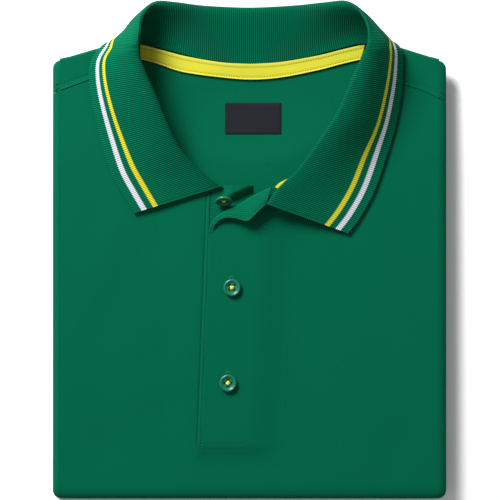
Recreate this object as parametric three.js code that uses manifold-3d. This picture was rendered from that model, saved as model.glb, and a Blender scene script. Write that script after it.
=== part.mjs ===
// A men's polo shirt in a flat retail fold, lying face up, millimetres, +Z up.
// The front panel wraps the folded stack. The knit collar stands round the open neck.

import * as THREE from 'three';
import { mergeVertices } from 'three/addons/utils/BufferGeometryUtils.js';
import Module from 'manifold-3d';

// Driving sizes of the folded shirt
const HALF_WIDTH = 137.9;
const BOTTOM_Y = -174.5;
const STACK_HEIGHT = 16;
const CREASE_Z = 8;
const SIDE_ROUND = 6;
const CORNER_ROUND = 6;
const NOSE_ROUND = 9;
const LOWER_FOLD_Y = 108;
const LOWER_FOLD_ROUND = 7;
const SHOULDER_DROOP = 2;
const DROOP_START_Y = 60;
const DROOP_LENGTH = 75;

// Soft hollows of the top sheet: their depth, their run across and along, where they fade
const HOLLOW = {
  depth: 0.45, lean: 0.35, across: 34, along: 58, startY: 20, edgeFade: 40, placketX: -14, placketHalf: 24,
  placketFade: 26, topFade: 60,
};

// Cloth and gaps
const SEAM_GAP = 0.3;
const JERSEY = 1.2;
const COLLAR_WALL = 1.6;
const PLACKET_WALL = 1.4;
const TAPE_WALL = 1.0;
const BACK_DEPTH = 2.2;

// The dish of the back panel inside the neck
const NECK_DISH = 1.6;
const NECK_CENTRE_Y = 95;
const NECK_RADIUS_X = 62;
const NECK_RADIUS_Y = 36;

// Placket
const PLACKET_WIDTH = 33.6;
const PLACKET_FOOT_Y = -140.5;
const PLACKET_LEFT_TOP = -29.75;
const PLACKET_TOP_Y = 24.3;
const PLACKET_LEAN = 0.0386;
const SLIT_MARGIN = 1.5;
const SLIT_FOOT_Y = PLACKET_FOOT_Y + 6;
const SLIT_TOP_Y = 48;

// Buttons
const BUTTON_RADIUS = 6.1;
const BUTTON_THICK = 2.6;
const HOLE_RADIUS = 0.85;
const HOLE_PITCH = 3.2;

// The forward shoulder seams, where the back panel meets the front on the top side
const shoulderSeam = [
  { x: -138, y: 109.6 },
  { x: -118.6, y: 116.8 },
  { x: -80, y: 131.2 },
  { x: 0, y: 140 },
  { x: 80, y: 124.6 },
  { x: 106.8, y: 116 },
  { x: 119.4, y: 112.4 },
  { x: 138, y: 103.4 },
];

// The shoulder edges, where the back panel rolls over to the underside
const shoulderEdge = [
  { x: -138, y: 133 },
  { x: -125.6, y: 135.6 },
  { x: -106.7, y: 141.2 },
  { x: -80, y: 147.5 },
  { x: 0, y: 152 },
  { x: 84, y: 147.5 },
  { x: 105.3, y: 141.9 },
  { x: 126.3, y: 135.4 },
  { x: 138, y: 132.6 },
];

// The back neckline, just beyond the upper edge of the tape
const backNeckline = [
  { x: -82, y: 145.6 },
  { x: -62.6, y: 141.4 },
  { x: -44, y: 136.6 },
  { x: -19, y: 132.4 },
  { x: 0, y: 131.2 },
  { x: 21, y: 132.4 },
  { x: 48, y: 137.2 },
  { x: 65, y: 141.4 },
  { x: 86, y: 146.4 },
];

// Collar sections from the left front end round the back to the right front end.
// seam: sewn edge, fold: the fold seen from above, edge: free edge, heading: outward
// direction in plan, rise: how the stand leaves the seam, dip: slope over the fold,
// arrive: slope at the free edge, roll: size of the fold, all angles in degrees.
const collarSections = [
  { seam: [-19.6, 44.2, 17.6], fold: [-22.0, 44.0, 18.4], edge: [-80.9, 25.7, 17.3],
    heading: 197, rise: 170, dip: 0, arrive: 2, roll: 0.4 },
  { seam: [-37.4, 53.2, 17.3], fold: [-34.6, 55.8, 22.5], edge: [-87.9, 37.6, 17.3],
    heading: 199, rise: 110, dip: 0, arrive: 4, roll: 2.2 },
  { seam: [-52.8, 68.4, 17.3], fold: [-47.9, 71.2, 28], edge: [-96.3, 53.7, 17.3],
    heading: 200, rise: 102, dip: 0, arrive: 6, roll: 4 },
  { seam: [-62.6, 86.6, 17.3], fold: [-57, 89.4, 33.5], edge: [-104, 78.2, 17.3],
    heading: 193, rise: 100, dip: 0, arrive: 16, roll: 5 },
  { seam: [-70.4, 105, 17.1], fold: [-64.6, 107.5, 38], edge: [-108.9, 99.2, 17.1],
    heading: 191, rise: 100, dip: 0, arrive: 30, roll: 5 },
  { seam: [-76.6, 119.8, 16.8], fold: [-71.4, 122, 40.5], edge: [-111.6, 117.4, 16.8],
    heading: 187, rise: 100, dip: 0, arrive: 36, roll: 5 },
  { seam: [-80.8, 132, 16.6], fold: [-75.8, 133.8, 41.5], edge: [-110.8, 131, 16.6],
    heading: 184, rise: 98, dip: 4, arrive: 42, roll: 5 },
  { seam: [-81.6, 136.6, 16.6], fold: [-76.3, 139, 41.5], edge: [-105, 140.2, 16.6],
    heading: 179, rise: 97, dip: 10, arrive: 54, roll: 5 },
  { seam: [-81.6, 140.6, 16.6], fold: [-76.4, 143.6, 40.5], edge: [-97.4, 146, 9],
    heading: 172, rise: 90, dip: 25, arrive: 95, roll: 5 },
  { seam: [-79.4, 144.2, 15.4], fold: [-75.6, 153.6, 36.5], edge: [-87.4, 145.6, 2.4],
    heading: 152, rise: 60, dip: 60, arrive: 148, roll: 7 },
  { seam: [-74.4, 144, 14.2], fold: [-73.4, 165, 31], edge: [-81.4, 149.8, 1.4],
    heading: 138, rise: 16, dip: 78, arrive: 158, roll: 10 },
  { seam: [-66, 142.4, 13.5], fold: [-65.4, 172.4, 24.5], edge: [-70, 151.6, 1.1],
    heading: 114, rise: -6, dip: 84, arrive: 172, roll: 14 },
  { seam: [-51, 138.4, 13.2], fold: [-51.8, 172.4, 19.5], edge: [-52.6, 149.8, 1],
    heading: 98, rise: -6, dip: 88, arrive: 180, roll: 10 },
  { seam: [-30.4, 133.4, 13.1], fold: [-31.2, 170.2, 15.2], edge: [-31.4, 148.4, 1],
    heading: 93, rise: 0, dip: 90, arrive: 180, roll: 4.8 },
  { seam: [0.3, 130.4, 13.1], fold: [0.3, 168.9, 14.8], edge: [0.3, 147.9, 1],
    heading: 90, rise: 0, dip: 90, arrive: 180, roll: 4.4 },
  { seam: [31.2, 133.4, 13.1], fold: [31.8, 170.4, 15.2], edge: [32, 148.4, 1],
    heading: 87, rise: 0, dip: 90, arrive: 180, roll: 4.8 },
  { seam: [52.4, 138.2, 13.2], fold: [52.8, 172.2, 20], edge: [53.6, 149.8, 1],
    heading: 82, rise: -6, dip: 88, arrive: 180, roll: 10 },
  { seam: [68.6, 142.6, 13.5], fold: [67.6, 172.6, 25], edge: [71, 151.6, 1.1],
    heading: 66, rise: -6, dip: 84, arrive: 172, roll: 14 },
  { seam: [79, 144.6, 14.2], fold: [77.2, 165.4, 31], edge: [83.2, 149.8, 1.4],
    heading: 42, rise: 12, dip: 78, arrive: 158, roll: 10 },
  { seam: [85.4, 144.4, 15.4], fold: [81.8, 154.6, 36.5], edge: [89.8, 146.2, 2.4],
    heading: 24, rise: 55, dip: 60, arrive: 146, roll: 7 },
  { seam: [87.2, 138.6, 16.6], fold: [81.8, 145.6, 40.5], edge: [98.8, 146.1, 9],
    heading: 6, rise: 90, dip: 25, arrive: 95, roll: 5 },
  { seam: [86, 134.6, 16.6], fold: [80.4, 140.4, 41.5], edge: [105.4, 140.5, 16.6],
    heading: 0, rise: 97, dip: 10, arrive: 54, roll: 5 },
  { seam: [83.4, 130, 16.6], fold: [78, 135.2, 41.5], edge: [107, 131.4, 16.6],
    heading: -6, rise: 98, dip: 4, arrive: 42, roll: 5 },
  { seam: [75.8, 114.8, 16.8], fold: [70.2, 117.4, 40.5], edge: [106.2, 113.2, 16.8],
    heading: -9, rise: 100, dip: 0, arrive: 36, roll: 5 },
  { seam: [66.6, 92.8, 17.1], fold: [60.6, 95.8, 38], edge: [101.9, 87.3, 17.1],
    heading: -12, rise: 100, dip: 0, arrive: 28, roll: 5 },
  { seam: [53.8, 73.4, 17.6], fold: [48, 76.4, 33.5], edge: [95.6, 65.6, 17.3],
    heading: -13, rise: 100, dip: 0, arrive: 14, roll: 5 },
  { seam: [38.4, 53.4, 19.4], fold: [33.4, 56.8, 29], edge: [87.2, 41.1, 17.3],
    heading: -17, rise: 102, dip: 0, arrive: 6, roll: 4 },
  { seam: [20.8, 41.4, 23.6], fold: [21.4, 43.6, 27.6], edge: [77.4, 22.9, 17.3],
    heading: -20, rise: 120, dip: 0, arrive: 4, roll: 1.6 },
  { seam: [12.4, 31.2, 24.8], fold: [14.6, 30.6, 25.8], edge: [68.6, 11.2, 17.3],
    heading: -20, rise: 170, dip: 0, arrive: 2, roll: 0.4 },
];
const COLLAR_STEPS = 2;
const COLLAR_FOLD_INSET = 2.5;
const STAND_POINTS = 6;
const FALL_POINTS = 10;

// The small lapel at the top of the upper placket: the line that it rolls over on,
// its free boundary, both in plan, the height of the boundary, the radius of the roll, and
// how far the lapel lifts off the front towards the collar
const lapel = [
  { rollX: -27.9, rollY: 12.0, freeX: -25.4, freeY: 12.4, freeZ: 18.6, roll: 0.8, lift: 0 },
  { rollX: -27.0, rollY: 16.4, freeX: -24.4, freeY: 16.4, freeZ: 18.9, roll: 0.9, lift: 0 },
  { rollX: -24.4, rollY: 21.2, freeX: -21.4, freeY: 20.4, freeZ: 19.6, roll: 1.1, lift: 0 },
  { rollX: -19.3, rollY: 25.3, freeX: -16.4, freeY: 22.4, freeZ: 20.8, roll: 1.5, lift: 0 },
  { rollX: -11.1, rollY: 29.6, freeX: -9.6, freeY: 22.0, freeZ: 22.2, roll: 1.9, lift: 0 },
  { rollX: -3.2, rollY: 33.8, freeX: -1.2, freeY: 20.2, freeZ: 24.2, roll: 1.9, lift: 0.5 },
  { rollX: 4.4, rollY: 38.4, freeX: 6.0, freeY: 26.6, freeZ: 25, roll: 1.9, lift: 2.2 },
  { rollX: 15.4, rollY: 43.4, freeX: 11.6, freeY: 32.2, freeZ: 25.2, roll: 1.9, lift: 4.2 },
];
const LAPEL_STEPS = 3;

// Straight line between the rows of a table with x and y
function lineAt(rows, x) {
  let k = 0;
  while (k < rows.length - 2 && x > rows[k + 1].x) k += 1;
  const a = rows[k];
  const b = rows[k + 1];
  const t = (x - a.x) / (b.x - a.x);
  return a.y + (b.y - a.y) * t;
}

// Smooth curve through four values, t from the second to the third
function through(p0, p1, p2, p3, t) {
  const a = 2 * p1;
  const b = p2 - p0;
  const c = 2 * p0 - 5 * p1 + 4 * p2 - p3;
  const d = 3 * p1 - p0 - 3 * p2 + p3;
  return 0.5 * (a + b * t + c * t * t + d * t * t * t);
}

// A value of a table, read smoothly at row position s
function readRow(rows, s, pick) {
  const last = rows.length - 1;
  const k = Math.min(Math.floor(s), last - 1);
  const at = (i) => pick(rows[Math.max(0, Math.min(last, i))]);
  return through(at(k - 1), at(k), at(k + 1), at(k + 2), s - k);
}

// A point of a table, read smoothly at row position s
function readPoint(rows, s, name) {
  const part = [0, 1, 2].map((i) => readRow(rows, s, (row) => row[name][i]));
  return new THREE.Vector3(...part);
}

function ease(t) {
  const c = Math.max(0, Math.min(1, t));
  return c * c * (3 - 2 * c);
}

// Outer height of the top sheet: flat, drooping to the shoulders, with a few soft hollows
function topHeight(x, y) {
  const droop = SHOULDER_DROOP * ease((y - DROOP_START_Y) / DROOP_LENGTH);
  const across = Math.cos((x * 0.8 + y * HOLLOW.lean) / HOLLOW.across);
  const along = Math.cos((y - HOLLOW.startY) / HOLLOW.along);
  const fromSide = ease((HALF_WIDTH - Math.abs(x)) / HOLLOW.edgeFade);
  const fromBottom = ease((y - BOTTOM_Y) / HOLLOW.edgeFade);
  const beside = ease((Math.abs(x - HOLLOW.placketX) - HOLLOW.placketHalf) / HOLLOW.placketFade);
  const calm = 1 - ease(y / HOLLOW.topFade);
  const sunk = HOLLOW.depth * (1 + across * along) * fromSide * fromBottom * beside * calm;
  return STACK_HEIGHT - droop - sunk;
}

// Top of the back panel where its inside shows in the neck
function backHeight(x, y) {
  const spread = (x / NECK_RADIUS_X) ** 2 + ((y - NECK_CENTRE_Y) / NECK_RADIUS_Y) ** 2;
  const dish = NECK_DISH * ease(1 - spread);
  const droop = SHOULDER_DROOP * ease((y - DROOP_START_Y) / DROOP_LENGTH);
  return STACK_HEIGHT - droop - BACK_DEPTH - dish;
}

function placketLeft(y) {
  return PLACKET_LEFT_TOP + PLACKET_LEAN * (y - PLACKET_TOP_Y);
}

// Joins two sheets of points, outer and inner, into one closed wall
function wallFrom(outer, inner, closedAcross, endCap) {
  const rows = outer.length;
  const columns = outer[0].length;
  const points = [];
  const faces = [];
  for (const sheet of [outer, inner]) {
    for (const row of sheet) points.push(...row);
  }
  const innerStart = rows * columns;
  const at = (sheet, i, j) => sheet * innerStart + i * columns + (j % columns);
  const quad = (a, b, c, d) => faces.push(a, b, c, a, c, d);
  const spans = closedAcross ? columns : columns - 1;
  for (let i = 0; i < rows - 1; i += 1) {
    for (let j = 0; j < spans; j += 1) {
      quad(at(0, i, j), at(0, i, j + 1), at(0, i + 1, j + 1), at(0, i + 1, j));
      quad(at(1, i, j), at(1, i + 1, j), at(1, i + 1, j + 1), at(1, i, j + 1));
    }
  }
  for (let j = 0; j < spans; j += 1) {
    quad(at(0, rows - 1, j), at(0, rows - 1, j + 1), at(1, rows - 1, j + 1), at(1, rows - 1, j));
    if (!endCap) quad(at(0, 0, j + 1), at(0, 0, j), at(1, 0, j), at(1, 0, j + 1));
  }
  if (!closedAcross) {
    const end = columns - 1;
    for (let i = 0; i < rows - 1; i += 1) {
      quad(at(0, i, 0), at(0, i + 1, 0), at(1, i + 1, 0), at(1, i, 0));
      quad(at(0, i, end), at(1, i, end), at(1, i + 1, end), at(0, i + 1, end));
    }
  }
  if (endCap) {
    for (const sheet of [0, 1]) {
      const middle = new THREE.Vector3();
      for (let j = 0; j < columns; j += 1) middle.add(points[at(sheet, 0, j)]);
      points.push(middle.divideScalar(columns));
      const hub = points.length - 1;
      for (let j = 0; j < columns; j += 1) {
        if (sheet === 0) faces.push(at(0, 0, j + 1), at(0, 0, j), hub);
        else faces.push(at(1, 0, j), at(1, 0, j + 1), hub);
      }
    }
  }
  return solidFrom(points, faces);
}

// A closed solid from sheets of rings: each row is one closed ring, both ends capped
function loftFrom(rings) {
  const columns = rings[0].length;
  const points = rings.flat();
  const faces = [];
  for (let i = 0; i < rings.length - 1; i += 1) {
    for (let j = 0; j < columns; j += 1) {
      const k = (j + 1) % columns;
      const a = i * columns;
      const b = a + columns;
      faces.push(a + j, a + k, b + k, a + j, b + k, b + j);
    }
  }
  for (const [start, turn] of [[0, true], [(rings.length - 1) * columns, false]]) {
    const middle = new THREE.Vector3();
    for (let j = 0; j < columns; j += 1) middle.add(points[start + j]);
    points.push(middle.divideScalar(columns));
    const hub = points.length - 1;
    for (let j = 0; j < columns; j += 1) {
      const a = start + j;
      const b = start + ((j + 1) % columns);
      if (turn) faces.push(b, a, hub);
      else faces.push(a, b, hub);
    }
  }
  return solidFrom(points, faces);
}

// A BufferGeometry from points and faces, turned so that its faces look outward
function solidFrom(points, faces) {
  const flat = new Float32Array(points.length * 3);
  points.forEach((p, i) => p.toArray(flat, i * 3));
  let volume = 0;
  for (let i = 0; i < faces.length; i += 3) {
    const [a, b, c] = [points[faces[i]], points[faces[i + 1]], points[faces[i + 2]]];
    volume += a.dot(new THREE.Vector3().crossVectors(b, c));
  }
  const order = volume < 0 ? faces.slice().reverse() : faces;
  const geometry = new THREE.BufferGeometry();
  geometry.setAttribute('position', new THREE.BufferAttribute(flat, 3));
  geometry.setIndex(order);
  return geometry;
}

// A wall of even thickness on a sheet of middle points
function thicken(sheet, thickness) {
  const rows = sheet.length;
  const columns = sheet[0].length;
  const outer = [];
  const inner = [];
  for (let i = 0; i < rows; i += 1) {
    outer.push([]);
    inner.push([]);
    for (let j = 0; j < columns; j += 1) {
      const up = sheet[Math.min(rows - 1, i + 1)][j].clone().sub(sheet[Math.max(0, i - 1)][j]);
      const side = sheet[i][Math.min(columns - 1, j + 1)].clone().sub(sheet[i][Math.max(0, j - 1)]);
      const normal = new THREE.Vector3().crossVectors(up, side).normalize();
      outer[i].push(sheet[i][j].clone().addScaledVector(normal, thickness / 2));
      inner[i].push(sheet[i][j].clone().addScaledVector(normal, -thickness / 2));
    }
  }
  return wallFrom(outer, inner, false, false);
}

// An upright prism over a plan outline
function prism(outline, low, high) {
  const shape = new THREE.Shape(outline.map(([x, y]) => new THREE.Vector2(x, y)));
  const geometry = new THREE.ExtrudeGeometry(shape, { depth: high - low, bevelEnabled: false });
  geometry.translate(0, 0, low);
  return geometry;
}

const wasm = await Module();
wasm.setup();

function toManifold(geometry) {
  const plain = geometry.clone();
  plain.deleteAttribute('normal');
  plain.deleteAttribute('uv');
  const merged = mergeVertices(plain, 1e-4);
  const vertProperties = new Float32Array(merged.attributes.position.array);
  const triVerts = new Uint32Array(merged.index.array);
  return new wasm.Manifold(new wasm.Mesh({ numProp: 3, vertProperties, triVerts }));
}

function fromManifold(solid) {
  const mesh = solid.getMesh();
  const geometry = new THREE.BufferGeometry();
  geometry.setAttribute('position', new THREE.BufferAttribute(mesh.vertProperties, 3));
  geometry.setIndex(new THREE.BufferAttribute(mesh.triVerts, 1));
  return geometry;
}

function cut(geometry, ...tools) {
  return fromManifold(tools.reduce((left, tool) => left.subtract(toManifold(tool)), toManifold(geometry)));
}

function join(first, ...others) {
  return fromManifold(others.reduce((sum, next) => sum.add(toManifold(next)), toManifold(first)));
}

// Half width of the folded stack at y, rounded at the bottom and shoulder corners
function halfWidth(y, endY) {
  const fromEnd = Math.min(y - BOTTOM_Y, endY - y);
  if (fromEnd >= CORNER_ROUND) return HALF_WIDTH;
  const left = CORNER_ROUND - Math.max(0, fromEnd);
  return HALF_WIDTH - CORNER_ROUND + Math.sqrt(CORNER_ROUND ** 2 - left ** 2);
}

// Where cuts through the top sheet start and end, how far they stay inside the collar's seam,
// and the points of the neck hole that the collar's seam doesn't give
const CUT_LOW_Z = CREASE_Z + 2;
const CUT_HIGH_Z = 60;
const SEAM_CLEAR = 1.4;
const neckBehind = [[-84, 170], [90, 170]];
const neckFront = [[12.4, 36], [2, 29], [-12, 24], [-20, 18], [-28.7, 12], [-27.6, 40]];

const TOP_COLUMNS = 24;
const BOTTOM_COLUMNS = 6;
const LOBE_COLUMNS = 5;

// One ring of the folded stack as seen along y: top sheet, right folds, underside, left folds.
// Each entry says which lobe it is on, how far across and at what angle round the fold.
function ringPlan() {
  const plan = [];
  for (let k = 0; k <= TOP_COLUMNS; k += 1) plan.push({ part: 'top', t: k / TOP_COLUMNS });
  for (let k = 1; k <= LOBE_COLUMNS; k += 1) plan.push({ part: 'rightUpper', t: k / LOBE_COLUMNS });
  for (let k = 0; k < LOBE_COLUMNS; k += 1) plan.push({ part: 'rightLower', t: k / LOBE_COLUMNS });
  for (let k = 0; k <= BOTTOM_COLUMNS; k += 1) plan.push({ part: 'bottom', t: k / BOTTOM_COLUMNS });
  for (let k = 1; k <= LOBE_COLUMNS; k += 1) plan.push({ part: 'leftLower', t: k / LOBE_COLUMNS });
  for (let k = 0; k < LOBE_COLUMNS; k += 1) plan.push({ part: 'leftUpper', t: k / LOBE_COLUMNS });
  return plan;
}

// A point of the wrap at y, set in from the outer face by depth.
// upper and lower scale the stack's height above and below the crease for its round ends.
function wrapPoint(column, y, depth, width, upper, lower) {
  const flat = width - SIDE_ROUND;
  const sweep = depth > 0 ? 180 : 165;
  const side = column.part.startsWith('left') ? -1 : 1;
  if (column.part === 'top') {
    const x = flat * (2 * column.t - 1);
    const rise = (topHeight(x, y) - CREASE_Z) * upper;
    return new THREE.Vector3(x, y, CREASE_Z + Math.max(0.05, rise - depth));
  }
  if (column.part === 'bottom') {
    const x = flat * (1 - 2 * column.t);
    return new THREE.Vector3(x, y, CREASE_Z - Math.max(0.05, CREASE_Z * lower - depth));
  }
  const isUpper = column.part.endsWith('Upper');
  const tall = isUpper ? (topHeight(side * flat, y) - CREASE_Z) * upper : CREASE_Z * lower;
  const half = tall / 2;
  const along = side > 0 ? column.t : 1 - column.t;
  const start = isUpper || depth > 0 ? 90 : 75;
  const angle = THREE.MathUtils.degToRad(start - sweep * along);
  const x = flat + (SIDE_ROUND - depth) * Math.cos(angle);
  const reach = Math.max(0.05, half - depth);
  const centre = isUpper ? CREASE_Z + half : CREASE_Z - half;
  return new THREE.Vector3(side * x, y, centre + reach * Math.sin(angle));
}

// Front panel: one wall round the top, both side folds, the bottom fold and the underside
function frontGeometry() {
  const plan = ringPlan();
  const rows = { nose: 5, body: 18, curl: 5 };
  const total = rows.nose + rows.body + rows.curl;
  const sheet = (depth) => {
    const rings = [];
    for (let i = 0; i <= total; i += 1) {
      const ring = plan.map((column) => {
        const isLow = column.part === 'bottom' || column.part.endsWith('Lower');
        const noseY = BOTTOM_Y + NOSE_ROUND;
        if (i < rows.nose) {
          const turn = THREE.MathUtils.degToRad(6 + (84 * i) / rows.nose);
          const reach = NOSE_ROUND - depth;
          const y = noseY - reach * Math.cos(turn);
          const full = Math.sin(turn);
          const width = halfWidth(noseY - NOSE_ROUND * Math.cos(turn), 1000);
          return wrapPoint(column, y, depth * full, width - depth * (1 - full), full, full);
        }
        const x = wrapPoint(column, 0, 0, HALF_WIDTH, 1, 1).x;
        const endY = isLow ? LOWER_FOLD_Y - LOWER_FOLD_ROUND : lineAt(shoulderSeam, x) - SEAM_GAP / 2 - 4;
        if (i < rows.nose + rows.body) {
          const y = noseY + ((endY - noseY) * (i - rows.nose)) / rows.body;
          return wrapPoint(column, y, depth, halfWidth(y, 1000), 1, 1);
        }
        const late = (i - rows.nose - rows.body) / rows.curl;
        if (isLow) {
          const turn = THREE.MathUtils.degToRad(80 * late);
          const y = endY + (LOWER_FOLD_ROUND - depth) * Math.sin(turn);
          return wrapPoint(column, y, depth * Math.cos(turn), HALF_WIDTH, 1, Math.cos(turn));
        }
        return wrapPoint(column, endY + 4 * late, depth, HALF_WIDTH, 1, 1);
      });
      rings.push(ring);
    }
    return rings;
  };
  const wrap = wallFrom(sheet(0), sheet(JERSEY), true, true);
  const neck = collarSections.map((row) => {
    const inward = THREE.MathUtils.degToRad(row.heading);
    return [row.seam[0] - SEAM_CLEAR * Math.cos(inward), row.seam[1] - SEAM_CLEAR * Math.sin(inward)];
  });
  const left = neck.slice(0, 9);
  const right = neck.slice(20, 28);
  const outline = [...left, ...neckBehind, ...right, ...neckFront];
  const neckHole = prism(outline, CUT_LOW_Z, CUT_HIGH_Z);
  const slit = prism([
    [placketLeft(SLIT_FOOT_Y) + SLIT_MARGIN, SLIT_FOOT_Y],
    [placketLeft(SLIT_FOOT_Y) + PLACKET_WIDTH - SLIT_MARGIN, SLIT_FOOT_Y],
    [placketLeft(SLIT_TOP_Y) + PLACKET_WIDTH - SLIT_MARGIN, SLIT_TOP_Y],
    [placketLeft(SLIT_TOP_Y) + SLIT_MARGIN, SLIT_TOP_Y],
  ], CUT_LOW_Z, CUT_HIGH_Z);
  return cut(wrap, neckHole, slit);
}

// The neck's cut through the back panel: its sides, and the part of the top strip that goes
const NECK_CUT = { left: -80.6, right: 84.6, behind: 170, stripY: 122, stripZ: CREASE_Z + 4.3 };

// Back panel: its inside in the neck, rolled over both shoulder edges to the forward seams,
// and wrapped round the upper side folds
function backGeometry() {
  const columns = 30;
  const rollSteps = 5;
  const stripSteps = 3;
  const sheetSteps = 9;
  const build = (depth) => {
    const grid = [];
    for (let j = 0; j <= columns; j += 1) {
      const across = (2 * j) / columns - 1;
      const x = across * (HALF_WIDTH - SIDE_ROUND + 1);
      const edgeY = lineAt(shoulderEdge, x);
      const seamY = lineAt(shoulderSeam, x) + SEAM_GAP / 2;
      const line = [];
      const topZ = (y) => topHeight(x, y) - depth;
      const lowZ = (y) => backHeight(x, y) - JERSEY + depth;
      const outerTop = topHeight(x, edgeY);
      const outerLow = backHeight(x, edgeY) - JERSEY;
      const radius = (outerTop - outerLow) / 2;
      const startY = 24;
      const bendY = edgeY - radius;
      for (let i = 0; i <= sheetSteps; i += 1) {
        const y = startY + ((bendY - startY) * i) / sheetSteps;
        line.push(new THREE.Vector3(x, y, lowZ(y)));
      }
      const middle = (outerTop + outerLow) / 2;
      for (let i = 1; i < rollSteps; i += 1) {
        const turn = THREE.MathUtils.degToRad(-90 + (180 * i) / rollSteps);
        const reach = radius - depth;
        line.push(new THREE.Vector3(x, bendY + reach * Math.cos(turn), middle + reach * Math.sin(turn)));
      }
      for (let i = 0; i <= stripSteps; i += 1) {
        const y = bendY + ((seamY - bendY) * i) / stripSteps;
        line.push(new THREE.Vector3(x, y, topZ(y)));
      }
      grid.push(line);
    }
    return grid;
  };
  const sheet = wallFrom(build(0), build(JERSEY), false, false);
  const sides = [-1, 1].map((side) => shoulderWrap(side));
  const { left, right, behind, stripY, stripZ } = NECK_CUT;
  const hole = [[left, behind]];
  for (const row of backNeckline) {
    hole.push([Math.max(left, Math.min(right, row.x)), row.y]);
  }
  hole.push([right, behind]);
  const neckCut = prism(hole.reverse(), 0, CUT_HIGH_Z);
  const strip = [[left, stripY], [right, stripY], [right, behind], [left, behind]];
  const topCut = prism(strip, stripZ, CUT_HIGH_Z);
  return cut(join(sheet, ...sides), neckCut, topCut);
}

// The part of the back strip that wraps round an upper side fold, drawn in at the corner
function shoulderWrap(side) {
  const x = side * (HALF_WIDTH - SIDE_ROUND);
  const bendY = lineAt(shoulderEdge, side * HALF_WIDTH) - CORNER_ROUND;
  const straight = 3;
  const corner = 5;
  const lobe = 8;
  const build = (depth) => {
    const grid = [];
    for (let i = 0; i <= straight + corner; i += 1) {
      const late = THREE.MathUtils.degToRad((84 * Math.max(0, i - straight)) / corner);
      const flat = HALF_WIDTH - SIDE_ROUND - CORNER_ROUND * (1 - Math.cos(late));
      const low = CREASE_Z + SEAM_GAP;
      const line = [];
      for (let j = 0; j <= lobe; j += 1) {
        const swing = THREE.MathUtils.degToRad(90 - (165 * j) / lobe);
        const px = flat + (SIDE_ROUND - depth) * Math.cos(swing);
        const wide = side * Math.min(HALF_WIDTH, px + HALF_WIDTH - SIDE_ROUND - flat);
        const seamY = lineAt(shoulderSeam, wide) + SEAM_GAP / 2;
        const y = seamY + (bendY - seamY) * Math.min(1, i / straight) + CORNER_ROUND * Math.sin(late);
        const high = topHeight(x, y);
        const pz = (high + low) / 2 + ((high - low) / 2 - depth) * Math.sin(swing);
        line.push(new THREE.Vector3(side * px, y, pz));
      }
      grid.push(line);
    }
    return grid;
  };
  return wallFrom(build(0), build(JERSEY), false, false);
}

// The hidden layers between, from the bottom fold to the shoulders.
// low is their lower face, drop is how far the upper face lies under the back panel,
// draw is how far the sides are drawn in.
const stackSections = [
  { y: -172.4, low: 7.4, drop: 3.6, draw: 6 },
  { y: -171, low: 5, drop: 1.6, draw: 4.4 },
  { y: -168, low: 2.9, drop: 0.5, draw: 2 },
  { y: -163, low: 1.6, drop: 0, draw: 0 },
  { y: -60, low: 1.6, drop: 0, draw: 0 },
  { y: 30, low: 1.6, drop: 0, draw: 0 },
  { y: 60, low: 1.6, drop: 0, draw: 0 },
  { y: 80, low: 1.6, drop: 0, draw: 0 },
  { y: 100, low: 1.6, drop: 0, draw: 0 },
  { y: 104, low: 3.4, drop: 0, draw: 0 },
  { y: 106.4, low: 8.3, drop: 0, draw: 0 },
  { y: 109, low: 8.4, drop: 0, draw: 0 },
  { y: 113, low: 7, drop: 0, draw: 0 },
  { y: 121, low: 7, drop: 0.2, draw: 0 },
  { y: 124.4, low: 7.6, drop: 1, draw: 0.6 },
  { y: 126, low: 8.6, drop: 2, draw: 2 },
];
const STACK_HALF = 131.2;
const STACK_ROUND = 3;
const STACK_COLUMNS = 14;

function layersGeometry() {
  const rings = stackSections.map(({ y, low, drop, draw }) => {
    const ring = [];
    const high = (x) => backHeight(x, y) - JERSEY - 2 * SEAM_GAP - drop;
    const wide = STACK_HALF - draw;
    const half = wide - STACK_ROUND;
    for (let k = 0; k <= STACK_COLUMNS; k += 1) {
      const x = -half + (2 * half * k) / STACK_COLUMNS;
      ring.push(new THREE.Vector3(x, y, high(x)));
    }
    const middle = (high(half) + low) / 2;
    const groove = wide - STACK_ROUND * 0.6;
    ring.push(new THREE.Vector3(wide, y, (high(half) + middle) / 2));
    ring.push(new THREE.Vector3(groove, y, middle));
    ring.push(new THREE.Vector3(wide, y, (low + middle) / 2));
    for (let k = 0; k <= STACK_COLUMNS; k += 1) {
      ring.push(new THREE.Vector3(half - (2 * half * k) / STACK_COLUMNS, y, low));
    }
    ring.push(new THREE.Vector3(-wide, y, (low + middle) / 2));
    ring.push(new THREE.Vector3(-groove, y, middle));
    ring.push(new THREE.Vector3(-wide, y, (high(half) + middle) / 2));
    return ring;
  });
  return loftFrom(rings);
}

// What shows of a sleeve: its folded end under the shoulder, two layers thick at the edge
const sleeveSections = [
  { x: 7, shrink: 0.5 },
  { x: 9, shrink: 0 },
  { x: 60, shrink: 0 },
  { x: 126, shrink: 0 },
  { x: 130.4, shrink: 0.6 },
];
const sleeveOutline = [
  { y: 108.9, z: 1.8 },
  { y: 110.6, z: 0.5 },
  { y: 122, z: 0.5 },
  { y: 125.6, z: 1.2 },
  { y: 126.6, z: 2.4 },
  { y: 125, z: 3.4 },
  { y: 126.4, z: 4.6 },
  { y: 125.2, z: 6 },
  { y: 121.6, z: 6.6 },
  { y: 113, z: 6.6 },
  { y: 109.6, z: 6.2 },
  { y: 108.7, z: 4.6 },
];

function sleeveGeometry(side) {
  const rings = sleeveSections.map(({ x, shrink }) => sleeveOutline.map(({ y, z }) => {
    const inward = shrink * Math.sign(117 - y);
    return new THREE.Vector3(side * x, y + inward, z + shrink * Math.sign(3.4 - z));
  }));
  return loftFrom(rings);
}

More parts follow.
